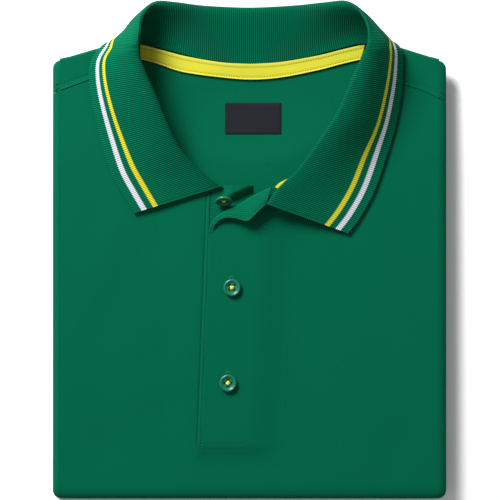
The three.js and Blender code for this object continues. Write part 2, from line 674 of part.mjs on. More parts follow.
// Collar: a wall on sections that climb the stand, turn over the fold and fall to the free edge
function collarSection(s) {
  const seam = readPoint(collarSections, s, 'seam');
  const edge = readPoint(collarSections, s, 'edge');
  const read = (name) => readRow(collarSections, s, (row) => row[name]);
  const heading = THREE.MathUtils.degToRad(read('heading'));
  const outward = new THREE.Vector3(Math.cos(heading), Math.sin(heading), 0);
  const slope = (degrees) => {
    const angle = THREE.MathUtils.degToRad(degrees);
    return outward.clone().multiplyScalar(Math.cos(angle)).add(new THREE.Vector3(0, 0, -Math.sin(angle)));
  };
  const dip = read('dip');
  const roll = read('roll');
  const crest = readPoint(collarSections, s, 'fold');
  const inset = COLLAR_FOLD_INSET * Math.min(1, roll / 4) * Math.cos(THREE.MathUtils.degToRad(dip));
  crest.addScaledVector(outward, inset);
  const over = slope(dip);
  const leave = slope(-read('rise'));
  const arrive = slope(read('arrive'));
  const level = Math.max(0, Math.cos(THREE.MathUtils.degToRad(read('rise'))));
  const standReach = seam.distanceTo(crest) * (0.36 + 0.2 * level);
  const fallReach = crest.distanceTo(edge) * 0.34;
  const stand = new THREE.CubicBezierCurve3(
    seam,
    seam.clone().addScaledVector(leave, standReach),
    crest.clone().addScaledVector(over, -roll),
    crest,
  );
  const fall = new THREE.CubicBezierCurve3(
    crest,
    crest.clone().addScaledVector(over, Math.min(fallReach, roll * 2.6 + 2)),
    edge.clone().addScaledVector(arrive, -fallReach),
    edge,
  );
  return [...stand.getPoints(STAND_POINTS), ...fall.getPoints(FALL_POINTS).slice(1)];
}

function collarGeometry() {
  const sheet = [];
  const count = (collarSections.length - 1) * COLLAR_STEPS;
  for (let i = 0; i <= count; i += 1) sheet.push(collarSection(i / COLLAR_STEPS));
  return thicken(sheet, COLLAR_WALL);
}

// Neck tape: lies on the back panel below the neckline and on over the shoulder seams
const tapeSections = [
  { upper: [-82.4, 141.0], lower: [-80.2, 133.4] },
  { upper: [-76.6, 143.0], lower: [-76.6, 133.6] },
  { upper: [-62.6, 139.6], lower: [-64.0, 130.2] },
  { upper: [-44.4, 134.8], lower: [-46.6, 124.6] },
  { upper: [-19.2, 130.6], lower: [-20.6, 121.0] },
  { upper: [0.4, 129.8], lower: [0.4, 119.4] },
  { upper: [21.4, 130.8], lower: [21.6, 120.8] },
  { upper: [47.8, 135.4], lower: [47.6, 125.8] },
  { upper: [64.8, 139.6], lower: [64.4, 130.2] },
  { upper: [80.8, 143.4], lower: [77.8, 133.4] },
];
const TAPE_STEPS = 3;
const TAPE_COLUMNS = 3;

function tapeGeometry() {
  const sheet = [];
  const count = (tapeSections.length - 2) * TAPE_STEPS;
  for (let i = 0; i <= count; i += 1) {
    const s = 1 + i / TAPE_STEPS;
    const read = (name, k) => readRow(tapeSections, s, (row) => row[name][k]);
    const line = [];
    for (let j = 0; j <= TAPE_COLUMNS; j += 1) {
      const t = j / TAPE_COLUMNS;
      const x = read('upper', 0) + (read('lower', 0) - read('upper', 0)) * t;
      const y = read('upper', 1) + (read('lower', 1) - read('upper', 1)) * t;
      line.push(new THREE.Vector3(x, y, backHeight(x, y) + 1.6 * SEAM_GAP + TAPE_WALL / 2));
    }
    sheet.push(line);
  }
  return thicken(sheet, TAPE_WALL);
}

// The end of the tape that shows between the lapel and the collar, along the collar's seam
const TAPE_END = { from: 1.72, to: 1.06, inset: 1.95, narrow: 3.4, wide: 4.8, steps: 5 };

function tapeEndGeometry() {
  const sheet = [];
  const last = collarSections.length - 1;
  for (let i = 0; i <= TAPE_END.steps; i += 1) {
    const t = i / TAPE_END.steps;
    const s = last - (TAPE_END.from + (TAPE_END.to - TAPE_END.from) * t);
    const seam = readPoint(collarSections, s, 'seam');
    const heading = THREE.MathUtils.degToRad(readRow(collarSections, s, (row) => row.heading));
    const inward = new THREE.Vector3(-Math.cos(heading), -Math.sin(heading), 0);
    const width = TAPE_END.narrow + (TAPE_END.wide - TAPE_END.narrow) * Math.sin(Math.PI * t);
    sheet.push([0, 0.5, 1].map((k) => seam.clone().addScaledVector(inward, TAPE_END.inset + width * k)));
  }
  return thicken(sheet, TAPE_WALL);
}

// A strip along the placket, across columns, with its middle at a height over the front
function placketSheet(fromY, toY, inset, rise, rows, columns) {
  const sheet = [];
  for (let i = 0; i <= rows; i += 1) {
    const y = fromY + ((toY - fromY) * i) / rows;
    const line = [];
    for (let j = 0; j <= columns; j += 1) {
      const x = placketLeft(y) + inset + ((PLACKET_WIDTH - 2 * inset) * j) / columns;
      line.push(new THREE.Vector3(x, y, topHeight(x, y) + rise));
    }
    sheet.push(line);
  }
  return sheet;
}

function lapelSection(s) {
  const read = (name) => readRow(lapel, s, (row) => row[name]);
  const fold = new THREE.Vector2(read('rollX'), read('rollY'));
  const free = new THREE.Vector2(read('freeX'), read('freeY'));
  const back = free.clone().sub(fold);
  const roll = read('roll');
  const width = Math.max(back.length(), roll + 0.6);
  back.normalize();
  const level = STACK_HEIGHT + SEAM_GAP + PLACKET_WALL / 2 + read('lift');
  const place = (away, z) => new THREE.Vector3(fold.x + back.x * away, fold.y + back.y * away, z);
  const line = [place(width + 1.5, level), place((width + roll) / 2 + 0.6, level)];
  for (let k = 0; k <= 4; k += 1) {
    const turn = THREE.MathUtils.degToRad(-90 + 45 * k);
    line.push(place(roll * (1 - Math.cos(turn)), level + roll * (1 + Math.sin(turn))));
  }
  const high = level + 2 * roll;
  line.push(place((width + roll) / 2, (high + read('freeZ')) / 2 + 0.2));
  line.push(place(width, read('freeZ')));
  return line;
}

function placketUpperGeometry() {
  const rise = SEAM_GAP + PLACKET_WALL / 2;
  const strip = thicken(placketSheet(PLACKET_FOOT_Y, 40, 0, rise, 20, 4), PLACKET_WALL);
  const opening = lapel.map((row) => [row.rollX + 0.6, row.rollY - 1.2]);
  opening.push([40, 60], [-60, 60], [-60, opening[0][1]]);
  const sheet = [];
  const count = (lapel.length - 1) * LAPEL_STEPS;
  for (let i = 0; i <= count; i += 1) sheet.push(lapelSection(i / LAPEL_STEPS));
  return join(cut(strip, prism(opening, 0, 60)), thicken(sheet, PLACKET_WALL));
}

// How far the top end of the under placket rises towards the open neck, right of the collar's end
const UNDER_RISE = {
  bendY: 31, topY: 45.2, height: 5, length: 7.5, startY: 36.5, lean: 0.45, middleX: -4,
  fromX: -19.5, toX: -12,
};

function underRise(x, y) {
  const start = UNDER_RISE.startY + UNDER_RISE.lean * (x - UNDER_RISE.middleX);
  const beside = ease((x - UNDER_RISE.fromX) / (UNDER_RISE.toX - UNDER_RISE.fromX));
  return UNDER_RISE.height * beside * ease((y - start) / UNDER_RISE.length);
}

function placketUnderGeometry() {
  const inset = SLIT_MARGIN + SEAM_GAP;
  const level = -PLACKET_WALL / 2;
  const flat = placketSheet(SLIT_FOOT_Y + 0.4, UNDER_RISE.bendY, inset, level, 8, 8);
  const raised = placketSheet(UNDER_RISE.bendY, UNDER_RISE.topY, inset, level, 8, 8).slice(1);
  for (const point of raised.flat()) point.z += underRise(point.x, point.y);
  return thicken([...flat, ...raised], PLACKET_WALL - 0.2);
}

// Button: a dished disc with a raised rim and four holes
const buttonProfile = [
  { r: 0, z: 0 },
  { r: BUTTON_RADIUS * 0.62, z: 0 },
  { r: BUTTON_RADIUS * 0.93, z: 0.7 },
  { r: BUTTON_RADIUS, z: 1.4 },
  { r: BUTTON_RADIUS * 0.96, z: 2.2 },
  { r: BUTTON_RADIUS * 0.84, z: BUTTON_THICK },
  { r: BUTTON_RADIUS * 0.72, z: 2.3 },
  { r: BUTTON_RADIUS * 0.6, z: 1.7 },
  { r: 0, z: 1.5 },
];

function buttonGeometry() {
  const profile = buttonProfile.map(({ r, z }) => new THREE.Vector2(r, z));
  const disc = new THREE.LatheGeometry(profile, 24);
  disc.rotateX(Math.PI / 2);
  const holes = [];
  for (const [i, j] of [[-1, -1], [1, -1], [1, 1], [-1, 1]]) {
    const hole = new THREE.CylinderGeometry(HOLE_RADIUS, HOLE_RADIUS, 8, 8);
    hole.rotateX(Math.PI / 2);
    hole.translate((i * HOLE_PITCH) / 2, (j * HOLE_PITCH) / 2, 0);
    holes.push(hole);
  }
  return cut(disc, ...holes);
}

const PLACKET_TOP_Z = SEAM_GAP * 2 + PLACKET_WALL;
const buttons = [
  { name: 'button_top', x: -17.9, y: 35.4, lift: 5.0, tilt: 54, turn: 10 },
  { name: 'button_middle', x: -12.2, y: -26.5, lift: PLACKET_TOP_Z, tilt: 0, turn: 0 },
  { name: 'button_bottom', x: -15.0, y: -93.3, lift: PLACKET_TOP_Z, tilt: 0, turn: 45 },
];

function placedButton({ x, y, lift, tilt, turn }) {
  const button = buttonGeometry();
  button.rotateZ(THREE.MathUtils.degToRad(turn));
  button.rotateX(THREE.MathUtils.degToRad(tilt));
  button.translate(x, y, topHeight(x, y) + lift);
  return button;
}

// Neck label: a thin plain patch on the inside of the back
const LABEL = { left: -17.2, right: 22, low: 81.4, high: 103.1, wall: 0.5 };

function labelGeometry() {
  const sheet = [];
  for (let i = 0; i <= 6; i += 1) {
    const y = LABEL.low + ((LABEL.high - LABEL.low) * i) / 6;
    const line = [];
    for (let j = 0; j <= 8; j += 1) {
      const x = LABEL.left + ((LABEL.right - LABEL.left) * j) / 8;
      line.push(new THREE.Vector3(x, y, backHeight(x, y) + SEAM_GAP + LABEL.wall / 2));
    }
    sheet.push(line);
  }
  return thicken(sheet, LABEL.wall);
}

const group = new THREE.Group();
group.name = 'polo_shirt_folded';

const colours = {
  green: { color: 0x00674a, roughness: 0.85 },
  collarGreen: { color: 0x00704e, roughness: 0.88 },
  yellow: { color: 0xdcd828, roughness: 0.8 },
  button: { color: 0x0b6b4f, roughness: 0.35 },
  label: { color: 0x20222a, roughness: 0.7 },
};

function addPiece(name, geometry, look) {
  const material = new THREE.MeshStandardMaterial({ ...colours[look], metalness: 0 });
  material.name = name;
  const mesh = new THREE.Mesh(geometry, material);
  mesh.name = name;
  group.add(mesh);
}

addPiece('front', frontGeometry(), 'green');
addPiece('back', backGeometry(), 'green');
addPiece('folded_layers', layersGeometry(), 'green');
addPiece('sleeve_left', sleeveGeometry(1), 'green');
addPiece('sleeve_right', sleeveGeometry(-1), 'green');
addPiece('collar', collarGeometry(), 'collarGreen');
addPiece('neck_tape', tapeGeometry(), 'yellow');
addPiece('neck_tape_end', tapeEndGeometry(), 'yellow');
addPiece('placket_upper', placketUpperGeometry(), 'green');
addPiece('placket_under', placketUnderGeometry(), 'green');
for (const button of buttons) addPiece(button.name, placedButton(button), 'button');
addPiece('neck_label', labelGeometry(), 'label');

export default group;
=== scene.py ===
"""Polo shirt in a flat retail fold, face up, seen from straight above."""
import math

import bpy
import numpy as np
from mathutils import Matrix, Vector


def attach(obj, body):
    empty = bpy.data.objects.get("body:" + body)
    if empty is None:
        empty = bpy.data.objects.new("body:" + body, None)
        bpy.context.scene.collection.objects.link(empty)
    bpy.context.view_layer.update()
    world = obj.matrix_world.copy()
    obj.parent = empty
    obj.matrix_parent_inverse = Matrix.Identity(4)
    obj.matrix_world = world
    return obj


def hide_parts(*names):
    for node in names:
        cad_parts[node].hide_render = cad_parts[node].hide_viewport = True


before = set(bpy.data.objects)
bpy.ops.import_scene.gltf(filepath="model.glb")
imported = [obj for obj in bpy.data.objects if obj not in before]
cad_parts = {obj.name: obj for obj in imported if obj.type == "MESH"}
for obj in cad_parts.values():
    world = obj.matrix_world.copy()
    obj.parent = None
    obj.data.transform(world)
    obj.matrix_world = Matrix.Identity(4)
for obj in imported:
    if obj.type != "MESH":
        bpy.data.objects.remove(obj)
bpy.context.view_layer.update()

MM = 0.001
MM_IN_CM = 10

# Sizes of the folded shirt, in millimetres
HALF_WIDTH = 137.9
BOTTOM_Y = -174.5
STACK_HEIGHT = 16.0
CREASE_Z = 8.0
SIDE_ROUND = 6.0
CORNER_ROUND = 6.0
NOSE_ROUND = 9.0
LOWER_FOLD_Y = 108.0
LOWER_FOLD_ROUND = 7.0
SEAM_GAP = 0.3
JERSEY = 1.2
COLLAR_WALL = 1.6
PLACKET_WALL = 1.4
TAPE_WALL = 1.0
BACK_DEPTH = 2.2
PLACKET_WIDTH = 33.6
PLACKET_FOOT_Y = -140.5
SLIT_MARGIN = 1.5
SHOULDER_DROOP = 2.0
NECK_LEFT = -80.6
NECK_RIGHT = 84.6
LABEL_LEFT = -17.2
LABEL_RIGHT = 22.0
LABEL_LOW = 81.4
LABEL_HIGH = 103.1
RIB = 1.4

# Steps of the grids: collar columns from seam to fold and on to the free edge, the column along
# which its ribs are spaced, rows and columns of a button and the row where its dish starts
STAND_STEPS = 13
FALL_STEPS = 25
RIB_COLUMN = 26
BUTTON_ROWS = 70
BUTTON_COLUMNS = 72
DISH_ROW = 38
HOLE_PLACE = 1.6

# Forward shoulder seams, shoulder edges and back neckline: columns x, y
SHOULDER_SEAM = np.array([
    (-138, 109.6), (-118.6, 116.8), (-80, 131.2), (0, 140), (80, 124.6), (106.8, 116), (119.4, 112.4),
    (138, 103.4)])
SHOULDER_EDGE = np.array([
    (-138, 133), (-125.6, 135.6), (-106.7, 141.2), (-80, 147.5), (0, 152), (84, 147.5), (105.3, 141.9),
    (126.3, 135.4), (138, 132.6)])
BACK_NECKLINE = np.array([
    (-82, 145.6), (-62.6, 141.4), (-44, 136.6), (-19, 132.4), (0, 131.2), (21, 132.4), (48, 137.2),
    (65, 141.4), (86, 146.4)])

# Collar sections from the left front end round the back to the right front end. Columns: seam
# x y z, fold x y z, free edge x y z, outward heading, rise from the seam, dip over the fold,
# slope at the free edge, size of the roll. The angles are in degrees.
COLLAR = np.array([
    (-19.6, 44.2, 17.6, -22.0, 44.0, 18.4, -80.9, 25.7, 17.3, 197, 170, 0, 2, 0.4),
    (-37.4, 53.2, 17.3, -34.6, 55.8, 22.5, -87.9, 37.6, 17.3, 199, 110, 0, 4, 2.2),
    (-52.8, 68.4, 17.3, -47.9, 71.2, 28, -96.3, 53.7, 17.3, 200, 102, 0, 6, 4),
    (-62.6, 86.6, 17.3, -57, 89.4, 33.5, -104, 78.2, 17.3, 193, 100, 0, 16, 5),
    (-70.4, 105, 17.1, -64.6, 107.5, 38, -108.9, 99.2, 17.1, 191, 100, 0, 30, 5),
    (-76.6, 119.8, 16.8, -71.4, 122, 40.5, -111.6, 117.4, 16.8, 187, 100, 0, 36, 5),
    (-80.8, 132, 16.6, -75.8, 133.8, 41.5, -110.8, 131, 16.6, 184, 98, 4, 42, 5),
    (-81.6, 136.6, 16.6, -76.3, 139, 41.5, -105, 140.2, 16.6, 179, 97, 10, 54, 5),
    (-81.6, 140.6, 16.6, -76.4, 143.6, 40.5, -97.4, 146, 9, 172, 90, 25, 95, 5),
    (-79.4, 144.2, 15.4, -75.6, 153.6, 36.5, -87.4, 145.6, 2.4, 152, 60, 60, 148, 7),
    (-74.4, 144, 14.2, -73.4, 165, 31, -81.4, 149.8, 1.4, 138, 16, 78, 158, 10),
    (-66, 142.4, 13.5, -65.4, 172.4, 24.5, -70, 151.6, 1.1, 114, -6, 84, 172, 14),
    (-51, 138.4, 13.2, -51.8, 172.4, 19.5, -52.6, 149.8, 1, 98, -6, 88, 180, 10),
    (-30.4, 133.4, 13.1, -31.2, 170.2, 15.2, -31.4, 148.4, 1, 93, 0, 90, 180, 4.8),
    (0.3, 130.4, 13.1, 0.3, 168.9, 14.8, 0.3, 147.9, 1, 90, 0, 90, 180, 4.4),
    (31.2, 133.4, 13.1, 31.8, 170.4, 15.2, 32, 148.4, 1, 87, 0, 90, 180, 4.8),
    (52.4, 138.2, 13.2, 52.8, 172.2, 20, 53.6, 149.8, 1, 82, -6, 88, 180, 10),
    (68.6, 142.6, 13.5, 67.6, 172.6, 25, 71, 151.6, 1.1, 66, -6, 84, 172, 14),
    (79, 144.6, 14.2, 77.2, 165.4, 31, 83.2, 149.8, 1.4, 42, 12, 78, 158, 10),
    (85.4, 144.4, 15.4, 81.8, 154.6, 36.5, 89.8, 146.2, 2.4, 24, 55, 60, 146, 7),
    (87.2, 138.6, 16.6, 81.8, 145.6, 40.5, 98.8, 146.1, 9, 6, 90, 25, 95, 5),
    (86, 134.6, 16.6, 80.4, 140.4, 41.5, 105.4, 140.5, 16.6, 0, 97, 10, 54, 5),
    (83.4, 130, 16.6, 78, 135.2, 41.5, 107, 131.4, 16.6, -6, 98, 4, 42, 5),
    (75.8, 114.8, 16.8, 70.2, 117.4, 40.5, 106.2, 113.2, 16.8, -9, 100, 0, 36, 5),
    (66.6, 92.8, 17.1, 60.6, 95.8, 38, 101.9, 87.3, 17.1, -12, 100, 0, 28, 5),
    (53.8, 73.4, 17.6, 48, 76.4, 33.5, 95.6, 65.6, 17.3, -13, 100, 0, 14, 5),
    (38.4, 53.4, 19.4, 33.4, 56.8, 29, 87.2, 41.1, 17.3, -17, 102, 0, 6, 4),
    (20.8, 41.4, 23.6, 21.4, 43.6, 27.6, 77.4, 22.9, 17.3, -20, 120, 0, 4, 1.6),
    (12.4, 31.2, 24.8, 14.6, 30.6, 25.8, 68.6, 11.2, 17.3, -20, 170, 0, 2, 0.4)], dtype=float)

# Lapel at the top of the upper placket. Columns: roll line x y, free boundary x y z, radius, lift
LAPEL = np.array([
    (-27.9, 12.0, -25.4, 12.4, 18.6, 0.8, 0), (-27.0, 16.4, -24.4, 16.4, 18.9, 0.9, 0),
    (-24.4, 21.2, -21.4, 20.4, 19.6, 1.1, 0), (-19.3, 25.3, -16.4, 22.4, 20.8, 1.5, 0),
    (-11.1, 29.6, -9.6, 22.0, 22.2, 1.9, 0), (-3.2, 33.8, -1.2, 20.2, 24.2, 1.9, 0.5),
    (4.4, 38.4, 6.0, 26.6, 25, 1.9, 2.2), (15.4, 43.4, 11.6, 32.2, 25.2, 1.9, 4.2)])

# Neck tape on the back panel. Columns: upper edge x y, lower edge x y
TAPE = np.array([
    (-82.4, 141.0, -80.2, 133.4), (-76.6, 143.0, -76.6, 133.6), (-62.6, 139.6, -64.0, 130.2),
    (-44.4, 134.8, -46.6, 124.6), (-19.2, 130.6, -20.6, 121.0), (0.4, 129.8, 0.4, 119.4),
    (21.4, 130.8, 21.6, 120.8), (47.8, 135.4, 47.6, 125.8), (64.8, 139.6, 64.4, 130.2),
    (80.8, 143.4, 77.8, 133.4)])


def ease(t):
    """Smooth step: 3 t squared minus 2 t cubed, held between 0 and 1."""
    t = np.clip(t, 0.0, 1.0)
    return t * t * (3 - 2 * t)


def along_table(rows, s):
    """Smooth curve through the rows of a table at positions s, by the Catmull-Rom formula."""
    last = len(rows) - 1
    k = np.clip(np.floor(s).astype(int), 0, last - 1)
    t = (s - k)[:, None]
    p0, p1, p2, p3 = (rows[np.clip(k + d, 0, last)] for d in (-1, 0, 1, 2))
    return 0.5 * (2 * p1 + (p2 - p0) * t + (2 * p0 - 5 * p1 + 4 * p2 - p3) * t ** 2
                  + (3 * p1 - p0 - 3 * p2 + p3) * t ** 3)


def line_at(rows, x):
    """Height y of a plan line at x, straight between the rows of its table."""
    return np.interp(x, rows[:, 0], rows[:, 1])


def placket_left(y):
    """Left edge of the placket: a straight line that leans by 0.0386 mm for each mm of y."""
    return -29.75 + 0.0386 * (y - 24.3)


# Soft creases of the top sheet. Columns: middle x y, direction in degrees, length, width, depth
CREASES = np.array([
    (-96, -20, 62, 120, 26, 0.5), (-70, -110, 20, 90, 22, 0.35), (60, -60, 118, 130, 30, 0.45),
    (95, 20, 100, 90, 20, 0.4), (30, -130, 165, 110, 26, 0.35), (-110, 70, 80, 70, 16, 0.4),
    (105, -120, 70, 80, 22, 0.3), (20, 0, 140, 60, 18, 0.3)])


def creases(x, y):
    """Sum of soft troughs and ridges: each a bell across and a longer bell along its direction."""
    total = np.zeros(np.broadcast(x, y).shape)
    for k, (cx, cy, angle, length, width, depth) in enumerate(CREASES):
        c, s = math.cos(math.radians(angle)), math.sin(math.radians(angle))
        along = (x - cx) * c + (y - cy) * s
        across = -(x - cx) * s + (y - cy) * c + 0.0015 * along ** 2 * (1 if k % 2 else -1)
        total += depth * np.exp(-(along / length) ** 2 * 2) * np.sin(across / width * 2.4) * np.exp(
            -(across / width) ** 2)
    return total


def droop(y):
    """Fall of the sheets towards the shoulders: an eased slope between y 60 and y 135."""
    return SHOULDER_DROOP * ease((y - 60) / 75)


def top_height(x, y):
    """Height of the top sheet: flat, drooping to the shoulders, with soft hollows and creases."""
    across = np.cos((x * 0.8 + y * 0.35) / 34)
    inside = ease((HALF_WIDTH - np.abs(x)) / 40) * ease((y - BOTTOM_Y) / 40)
    beside = ease((np.abs(x + 14) - 24) / 26)
    calm = 1 - ease(y / 60)
    hollow = 0.45 * (1 + across * np.cos((y - 20) / 58)) * inside * beside * calm
    fold = creases(x, y) * inside * beside * (0.35 + 0.65 * calm)
    return STACK_HEIGHT - droop(y) - hollow - 0.25 + fold * 0.8 + 0.25 * (1 - inside * beside)


def back_height(x, y):
    """Height of the back panel's inside: 2.2 mm under the front's height, dished in the neck."""
    spread = (x / 62) ** 2 + ((y - 95) / 36) ** 2
    return STACK_HEIGHT - droop(y) - BACK_DEPTH - 1.6 * ease(1 - spread)


# Meshes

def facing_out(points, quads):
    """The quads turned so that the volume they enclose comes out above zero."""
    a, b, c, d = (points[quads[:, k]] for k in range(4))
    inward = np.sum(a * (np.cross(b, c) + np.cross(c, d))) < 0
    return quads[:, ::-1] if inward else quads


def add_mesh(name, points, quads, uv, sharp=50):
    """A mesh object of quads from points in millimetres, with a UV position in centimetres each."""
    points = np.asarray(points)
    mesh = bpy.data.meshes.new(name)
    mesh.vertices.add(len(points))
    mesh.vertices.foreach_set("co", (points * MM).astype(np.float32).ravel())
    quads = facing_out(points, np.asarray(quads, dtype=np.int32))
    mesh.loops.add(quads.size)
    mesh.loops.foreach_set("vertex_index", quads.ravel())
    mesh.polygons.add(len(quads))
    mesh.polygons.foreach_set("loop_start", np.arange(0, quads.size, quads.shape[1], dtype=np.int32))
    layer = mesh.uv_layers.new(name="cloth")
    layer.data.foreach_set("uv", np.asarray(uv)[quads.ravel()].astype(np.float32).ravel())
    mesh.validate()
    mesh.update(calc_edges=True)
    mesh.polygons.foreach_set("use_smooth", np.ones(len(mesh.polygons), dtype=bool))
    mesh.set_sharp_from_angle(angle=math.radians(sharp))
    piece = bpy.data.objects.new(name, mesh)
    bpy.context.scene.collection.objects.link(piece)
    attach(piece, "root")
    return piece


def grid_quads(rows, columns, closed, start=0):
    """Quads of a grid of points, closed across or open."""
    i, j = np.meshgrid(np.arange(rows - 1), np.arange(columns if closed else columns - 1), indexing="ij")
    k = (j + 1) % columns
    return np.stack([i * columns + j, i * columns + k, (i + 1) * columns + k, (i + 1) * columns + j],
                    axis=-1).reshape(-1, 4) + start


def wall(outer, inner, keep=None, closed=False):
    """Points and quads of a closed wall between two grids, less the cells that keep leaves out.

    The rim runs wherever a kept cell meets a left-out cell or the grid's end."""
    rows, columns = outer.shape[:2]
    spans = columns if closed else columns - 1
    if keep is None:
        keep = np.ones((rows - 1, spans), dtype=bool)
    cells = grid_quads(rows, columns, closed).reshape(rows - 1, spans, 4)
    count = rows * columns
    top = cells[keep]
    under = top[:, ::-1] + count
    rims = []
    padded = np.zeros((rows + 1, spans + 2), dtype=bool)
    padded[1:-1, 1:-1] = keep
    if closed:
        padded[1:-1, 0] = keep[:, -1]
        padded[1:-1, -1] = keep[:, 0]
    for edge, (di, dj) in enumerate([(-1, 0), (0, 1), (1, 0), (0, -1)]):
        open_side = keep & ~padded[1 + di:rows + di, 1 + dj:spans + 1 + dj]
        a = cells[open_side][:, edge]
        b = cells[open_side][:, (edge + 1) % 4]
        rims.append(np.stack([b, a, a + count, b + count], axis=-1))
    points = np.concatenate([outer.reshape(-1, 3), inner.reshape(-1, 3)])
    return points, np.concatenate([top, under] + rims)


def drop_unused(points, quads, uv):
    """Leaves out the points that no quad uses."""
    used = np.unique(quads)
    place = np.zeros(len(points), dtype=np.int64)
    place[used] = np.arange(len(used))
    return points[used], place[quads], uv[used]


def normals(sheet):
    """Unit normals of a grid of points, from the cross product of its two directions."""
    n = np.cross(np.gradient(sheet, axis=0), np.gradient(sheet, axis=1))
    return n / np.maximum(np.linalg.norm(n, axis=-1, keepdims=True), 1e-9)


def wall_piece(name, outer, inner, uv, keep=None, closed=False):
    """The wall between two grids as a mesh object, both sides with the same UV positions."""
    points, quads = wall(outer, inner, keep, closed)
    points, quads, both = drop_unused(points, quads, np.concatenate([uv.reshape(-1, 2)] * 2))
    return add_mesh(name, points, quads, both)


def sheet_piece(name, sheet, thickness, uv, relief=None):
    """A wall of even thickness on a grid of middle points, with a relief on its outer side."""
    n = normals(sheet)
    if n[..., 2].mean() < 0:
        n = -n
    outer = sheet + n * (thickness / 2 + (0 if relief is None else relief[..., None]))
    return wall_piece(name, outer, sheet - n * thickness / 2, uv)


def inside_outline(outline, x, y):
    """True where a point lies inside a plan outline, by counting the sides crossed to the right."""
    hit = np.zeros(x.shape, dtype=bool)
    for (ax, ay), (bx, by) in zip(outline, np.roll(outline, -1, axis=0)):
        crosses = (ay > y) != (by > y)
        at = ax + (y - ay) * (bx - ax) / (by - ay if by != ay else 1e-9)
        hit ^= crosses & (x < at)
    return hit


def to_outline(outline, x, y):
    """Nearest points of a plan outline to the points given."""
    best = np.full(x.shape, np.inf)
    nx, ny = x.copy(), y.copy()
    for (ax, ay), (bx, by) in zip(outline, np.roll(outline, -1, axis=0)):
        dx, dy = bx - ax, by - ay
        t = np.clip(((x - ax) * dx + (y - ay) * dy) / max(dx * dx + dy * dy, 1e-9), 0, 1)
        px, py = ax + t * dx, ay + t * dy
        d = (px - x) ** 2 + (py - y) ** 2
        near = d < best
        best = np.where(near, d, best)
        nx, ny = np.where(near, px, nx), np.where(near, py, ny)
    return nx, ny


def cut_grid(outer, inner, outline, closed, low):
    """Cells kept outside a plan outline, with the rim's points moved onto the outline."""
    x, y, z = outer[..., 0], outer[..., 1], outer[..., 2]
    nxt = np.roll(outer, -1, axis=1) if closed else outer[:, 1:]
    mine = outer if closed else outer[:, :-1]
    centre = (mine[:-1] + mine[1:] + nxt[:-1] + nxt[1:]) / 4
    keep = ~(inside_outline(outline, centre[..., 0], centre[..., 1]) & (centre[..., 2] > low))
    rows, columns = outer.shape[:2]
    kept = np.zeros((rows, columns), dtype=bool)
    left_out = np.zeros((rows, columns), dtype=bool)
    for mask, cells in ((kept, keep), (left_out, ~keep)):
        for di in (0, 1):
            for dj in (0, 1):
                i, j = np.nonzero(cells)
                mask[i + di, (j + dj) % columns] = True
    rim = kept & left_out
    nx, ny = to_outline(outline, x[rim], y[rim])
    for sheet in (outer, inner):
        sheet[rim, 0] = nx
        sheet[rim, 1] = ny
    return keep


# Front panel

def collar_seam_outline():
    """Plan outline of the neck hole and the slit under the placket, from the collar's seam."""
    heading = np.radians(COLLAR[:, 9])
    seam = COLLAR[:, :2] - 1.4 * np.stack([np.cos(heading), np.sin(heading)], axis=-1)
    left, right = seam[1:9], seam[20:28]
    foot = PLACKET_FOOT_Y + 6
    far = PLACKET_WIDTH - SLIT_MARGIN
    slit = [(placket_left(30) + far, 30), (placket_left(foot) + far, foot),
            (placket_left(foot) + SLIT_MARGIN, foot), (placket_left(48) + SLIT_MARGIN, 48)]
    return np.array([*left, (-84, 170), (90, 170), *right, (12.4, 36), *slit])


def half_width(y):
    """Half width of the stack, drawn in to a quarter circle at the bottom corners."""
    left = np.clip(CORNER_ROUND - (y - BOTTOM_Y), 0, CORNER_ROUND)
    return HALF_WIDTH - CORNER_ROUND + np.sqrt(CORNER_ROUND ** 2 - left ** 2)


def ring_plan(top, lobe, bottom):
    """One ring of the folded stack along x: part number, position along the part.

    The columns of the top lie closer together where the placket's left edge runs."""
    close = (np.arange(-38.5, -27, 0.5) / (HALF_WIDTH - SIDE_ROUND) + 1) / 2
    spread = np.arange(top + 1) / top
    spread = spread[(spread < close[0] - 0.001) | (spread > close[-1] + 0.001)]
    parts = [(0, t) for t in np.sort(np.concatenate([spread, close]))]
    parts += [(1, k / lobe) for k in range(1, lobe + 1)]
    parts += [(2, k / lobe) for k in range(lobe)]
    parts += [(3, k / bottom) for k in range(bottom + 1)]
    parts += [(4, k / lobe) for k in range(1, lobe + 1)]
    parts += [(5, k / lobe) for k in range(lobe)]
    return np.array(parts)


def wrap_points(plan, y, depth, width, full, low_full, height):
    """The wrap at y: flat top and bottom, and on each side two rounds that meet in a crease.

    full and low_full scale the heights above and below the crease for the round ends."""
    part, t = plan[None, :, 0], plan[None, :, 1]
    flat = width - SIDE_ROUND
    right = (part == 1) | (part == 2)
    side = np.where(right, 1.0, -1.0)
    upper = (part == 1) | (part == 5)
    x_top = flat * (2 * t - 1)
    x_bottom = flat * (1 - 2 * t)
    edge_x = np.where(part == 0, x_top, side * flat)
    tall = np.where((part == 0) | upper, (height(edge_x, y) - CREASE_Z) * full, CREASE_Z * low_full)
    along = np.where(right, t, 1 - t)
    deep = depth > 0
    start = np.where(upper | deep, 90.0, 75.0)
    angle = np.radians(start - np.where(deep, 180.0, 165.0) * along)
    lobe_x = side * (flat + (SIDE_ROUND - depth) * np.cos(angle))
    reach = np.maximum(0.05, tall / 2 - depth)
    lobe_z = CREASE_Z + np.where(upper, tall / 2, -tall / 2) + reach * np.sin(angle)
    x = np.select([part == 0, part == 3], [x_top, x_bottom], lobe_x)
    high = np.maximum(0.05, tall - depth)
    z = np.select([part == 0, part == 3], [CREASE_Z + high, CREASE_Z - high], lobe_z)
    return np.stack([x, np.broadcast_to(y, x.shape), z], axis=-1)


